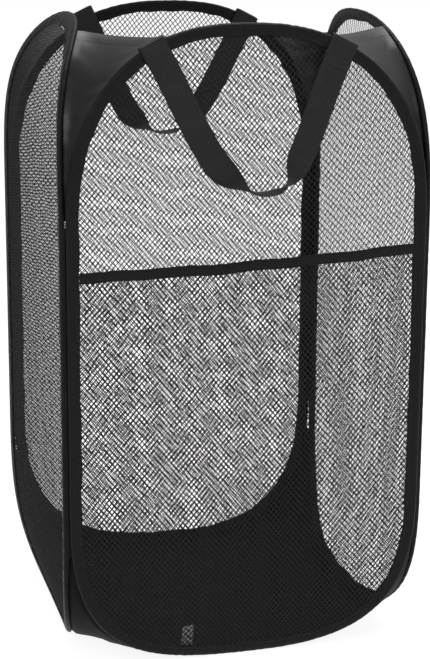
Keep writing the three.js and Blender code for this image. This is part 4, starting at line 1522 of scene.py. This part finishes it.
@dataclass(frozen=True)
class Label:
    """Blank woven label, sewn at the inner leg of the front channel.

    Attributes:
        across: Its place across the wall.
        width: Its width.
        height: Its height.
        tuck: How much of it lies on the channel.
        through: Its place through the wall.
        thickness: Its thickness.
        curl: How far its free end curls out of the net.
    """

    across: float = -54.0
    width: float = 11.0
    height: float = 25.0
    tuck: float = 3.0
    through: float = 3.1
    thickness: float = 0.4
    curl: float = 0.9

    def build(self, wall: Wall, channel: Channel) -> None:
        """Builds the label, a little curled at its free end.

        Args:
            wall: The wall that it is sewn to.
            channel: The channel that holds it.
        """
        low = float(HOOP.foot_height_at(np.array(self.across))) + channel.width - self.tuck
        up, wide = np.meshgrid(np.linspace(0, self.height, 40),
                               np.linspace(-self.width / 2, self.width / 2, 18), indexing="ij")
        curl = self.curl * (up / self.height) ** 2 * np.sin(wide / self.width * 2.2 + 0.5)
        middle = wall.place(self.across + wide, low + up, self.through + curl)
        skin = Skin("blank_label")
        skin.sheet(middle, self.thickness)
        piece = skin.finish(SATIN_LABEL, "label_cloth", wall.body)
        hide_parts("label")


# Studio

@dataclass(frozen=True)
class Viewpoint:
    """The photograph's viewpoint, found by fitting the hoops' outlines.

    Attributes:
        azimuth: Degrees from straight in front, where minus is to the left.
        elevation: Degrees above level.
        distance: Distance to the point looked at.
        focal_px: Focal length in pixels of the photograph's frame.
        sideways: The point looked at, to the right of the hamper's axis.
        height: Its height.
        roll: Roll of the camera in degrees.
        frame_px: Width of the photograph's frame in pixels.
        sensor: Width of the camera's sensor.
    """

    azimuth: float = -14.854
    elevation: float = 14.13
    distance: float = 1778.4
    focal_px: float = 1768.1
    sideways: float = 12.294
    height: float = 283.51
    roll: float = 0.383
    frame_px: int = 430
    sensor: float = 36.0

    def build(self) -> None:
        """Makes the camera and the scene look through it."""
        turn, tilt, roll = (math.radians(value) for value in (self.azimuth, self.elevation, self.roll))
        back = Vector((math.sin(turn) * math.cos(tilt), -math.cos(turn) * math.cos(tilt), math.sin(tilt)))
        right = Vector((math.cos(turn), math.sin(turn), 0.0))
        target = right * self.sideways + Vector((0, 0, self.height))
        up = back.cross(right)
        right, up = right * math.cos(roll) + up * math.sin(roll), up * math.cos(roll) - right * math.sin(roll)
        place = (target + back * self.distance) * MM
        data = bpy.data.cameras.new("photo_camera")
        data.sensor_fit = "HORIZONTAL"
        data.sensor_width = self.sensor
        data.lens = self.sensor * self.focal_px / self.frame_px
        data.clip_start = 0.05
        data.clip_end = 50.0
        camera = bpy.data.objects.new("photo_camera", data)
        camera.matrix_world = Matrix((
            (right.x, up.x, back.x, place.x), (right.y, up.y, back.y, place.y),
            (right.z, up.z, back.z, place.z), (0, 0, 0, 1)))
        bpy.context.scene.collection.objects.link(camera)
        bpy.context.scene.camera = camera


LAMPS = (                 # each soft box's name, its place and side in metres, and its power in watts
    ("key_box", (-1.6, -2.2, 2.3), 1.4, 34.0),
    ("fill_box", (2.3, -1.6, 1.5), 1.8, 16.0),
    ("top_box", (0.5, 0.9, 2.6), 1.6, 36.0),
)


@dataclass(frozen=True)
class Studio:
    """Pale floor, white surroundings and soft boxes.

    Attributes:
        floor_half: Half of the floor's width, in metres.
        floor_drop: How far the floor lies under the base, so that the two don't share a plane.
        light: Strength of the even light from all round.
        glow: Strength of the floor's own white.
        glow_share: How much of what the camera sees of the floor is that white.
    """

    floor_half: float = 6.0
    floor_drop: float = 0.2
    light: float = 0.5
    glow: float = 1.2
    glow_share: float = 0.75

    def build(self) -> None:
        """Builds the floor, the world and the lamps."""
        self.build_floor()
        self.build_world()
        for lamp in LAMPS:
            self.add_lamp(*lamp)

    def build_floor(self) -> None:
        """Builds the floor, white to the camera except for the hamper's soft shadow."""
        half = self.floor_half
        mesh = bpy.data.meshes.new("floor")
        level = -self.floor_drop * MM
        corners = [(-half, -half, level), (half, -half, level), (half, half, level), (-half, half, level)]
        mesh.from_pydata(corners, [], [(0, 1, 2, 3)])
        floor = bpy.data.objects.new("floor", mesh)
        bpy.context.scene.collection.objects.link(floor)
        material = bpy.data.materials.new("white_floor")
        material.use_nodes = True
        tree = material.node_tree
        tree.nodes.clear()
        matt = add_node(tree, "ShaderNodeBsdfDiffuse", {"Color": linear(0xF2F2F2)})
        glow = add_node(tree, "ShaderNodeEmission", {"Color": (1, 1, 1, 1), "Strength": self.glow})
        path = add_node(tree, "ShaderNodeLightPath")
        seen = add_node(tree, "ShaderNodeMath", {"operation": "MAXIMUM"},
                        {0: path.outputs["Is Camera Ray"], 1: path.outputs["Is Glossy Ray"]})
        share = add_node(tree, "ShaderNodeMath", {"operation": "MULTIPLY", 1: self.glow_share},
                         {0: seen.outputs[0]})
        both = add_node(tree, "ShaderNodeMixShader", None,
                        {0: share.outputs[0], 1: matt.outputs[0], 2: glow.outputs[0]})
        add_node(tree, "ShaderNodeOutputMaterial", None, {"Surface": both.outputs[0]})
        mesh.materials.append(material)

    def build_world(self) -> None:
        """Makes the surroundings white to the camera and softly lit for everything else."""
        world = bpy.data.worlds.new("studio")
        world.use_nodes = True
        tree = world.node_tree
        tree.nodes.clear()
        path = add_node(tree, "ShaderNodeLightPath")
        seen = add_node(tree, "ShaderNodeMath", {"operation": "MAXIMUM"},
                        {0: path.outputs["Is Camera Ray"], 1: path.outputs["Is Transmission Ray"]})
        even = add_node(tree, "ShaderNodeBackground", {"Color": (1, 1, 1, 1), "Strength": self.light})
        white = add_node(tree, "ShaderNodeBackground", {"Color": (1, 1, 1, 1), "Strength": 1.0})
        both = add_node(tree, "ShaderNodeMixShader", None,
                        {0: seen.outputs[0], 1: even.outputs[0], 2: white.outputs[0]})
        add_node(tree, "ShaderNodeOutputWorld", None, {"Surface": both.outputs[0]})
        bpy.context.scene.world = world

    def add_lamp(self, name: str, place: tuple[float, float, float], size: float, power: float) -> None:
        """Adds one square soft box that faces the hamper's middle.

        Args:
            name: Its name.
            place: Where it stands, in metres.
            size: Its side, in metres.
            power: Its power in watts.
        """
        data = bpy.data.lights.new(name, "AREA")
        data.size = size
        data.energy = power
        lamp = bpy.data.objects.new(name, data)
        lamp.location = place
        aim = Vector((0, 0, HOOP.height / 2 * MM)) - Vector(place)
        lamp.rotation_euler = aim.to_track_quat("-Z", "Y").to_euler()
        bpy.context.scene.collection.objects.link(lamp)


def main() -> None:
    """Builds the hamper in order."""
    logging.basicConfig(level=logging.INFO, format="%(name)s: %(message)s")
    Viewpoint().build()
    Studio().build()
    channel = Channel()
    net = Net()
    for wall in WALLS.values():
        channel.build(wall)
        net.build(wall)
        dress_node(f"{wall.name}_hoop_wire", SPRING_WIRE)
        dress_node(f"{wall.name}_hoop_crimp", PRESSED_CRIMP)
    front, right, back, left = (WALLS[side] for side in (Side.FRONT, Side.RIGHT, Side.BACK, Side.LEFT))
    Pocket().build(front, replace(net, skew=-0.04, gap_width=4.95))
    corner = CornerCloth()
    corner.build(front, left, "front_left")
    corner.build(right, front, "front_right")
    corner.build(back, right, "back_right")
    corner.build_halves(left, back, "back_left")
    BaseCloth().build()
    Handle(side=-1, drop=108.0, sideways=8.0).build(front, ("left", "right"))
    Handle(side=1, drop=98.0, sideways=4.0, loose=(0.0, 5.5)).build(back, ("right", "left"))
    Label().build(front, channel)
    bpy.context.scene.view_settings.view_transform = "Standard"


if __name__ == "__main__":
    main()
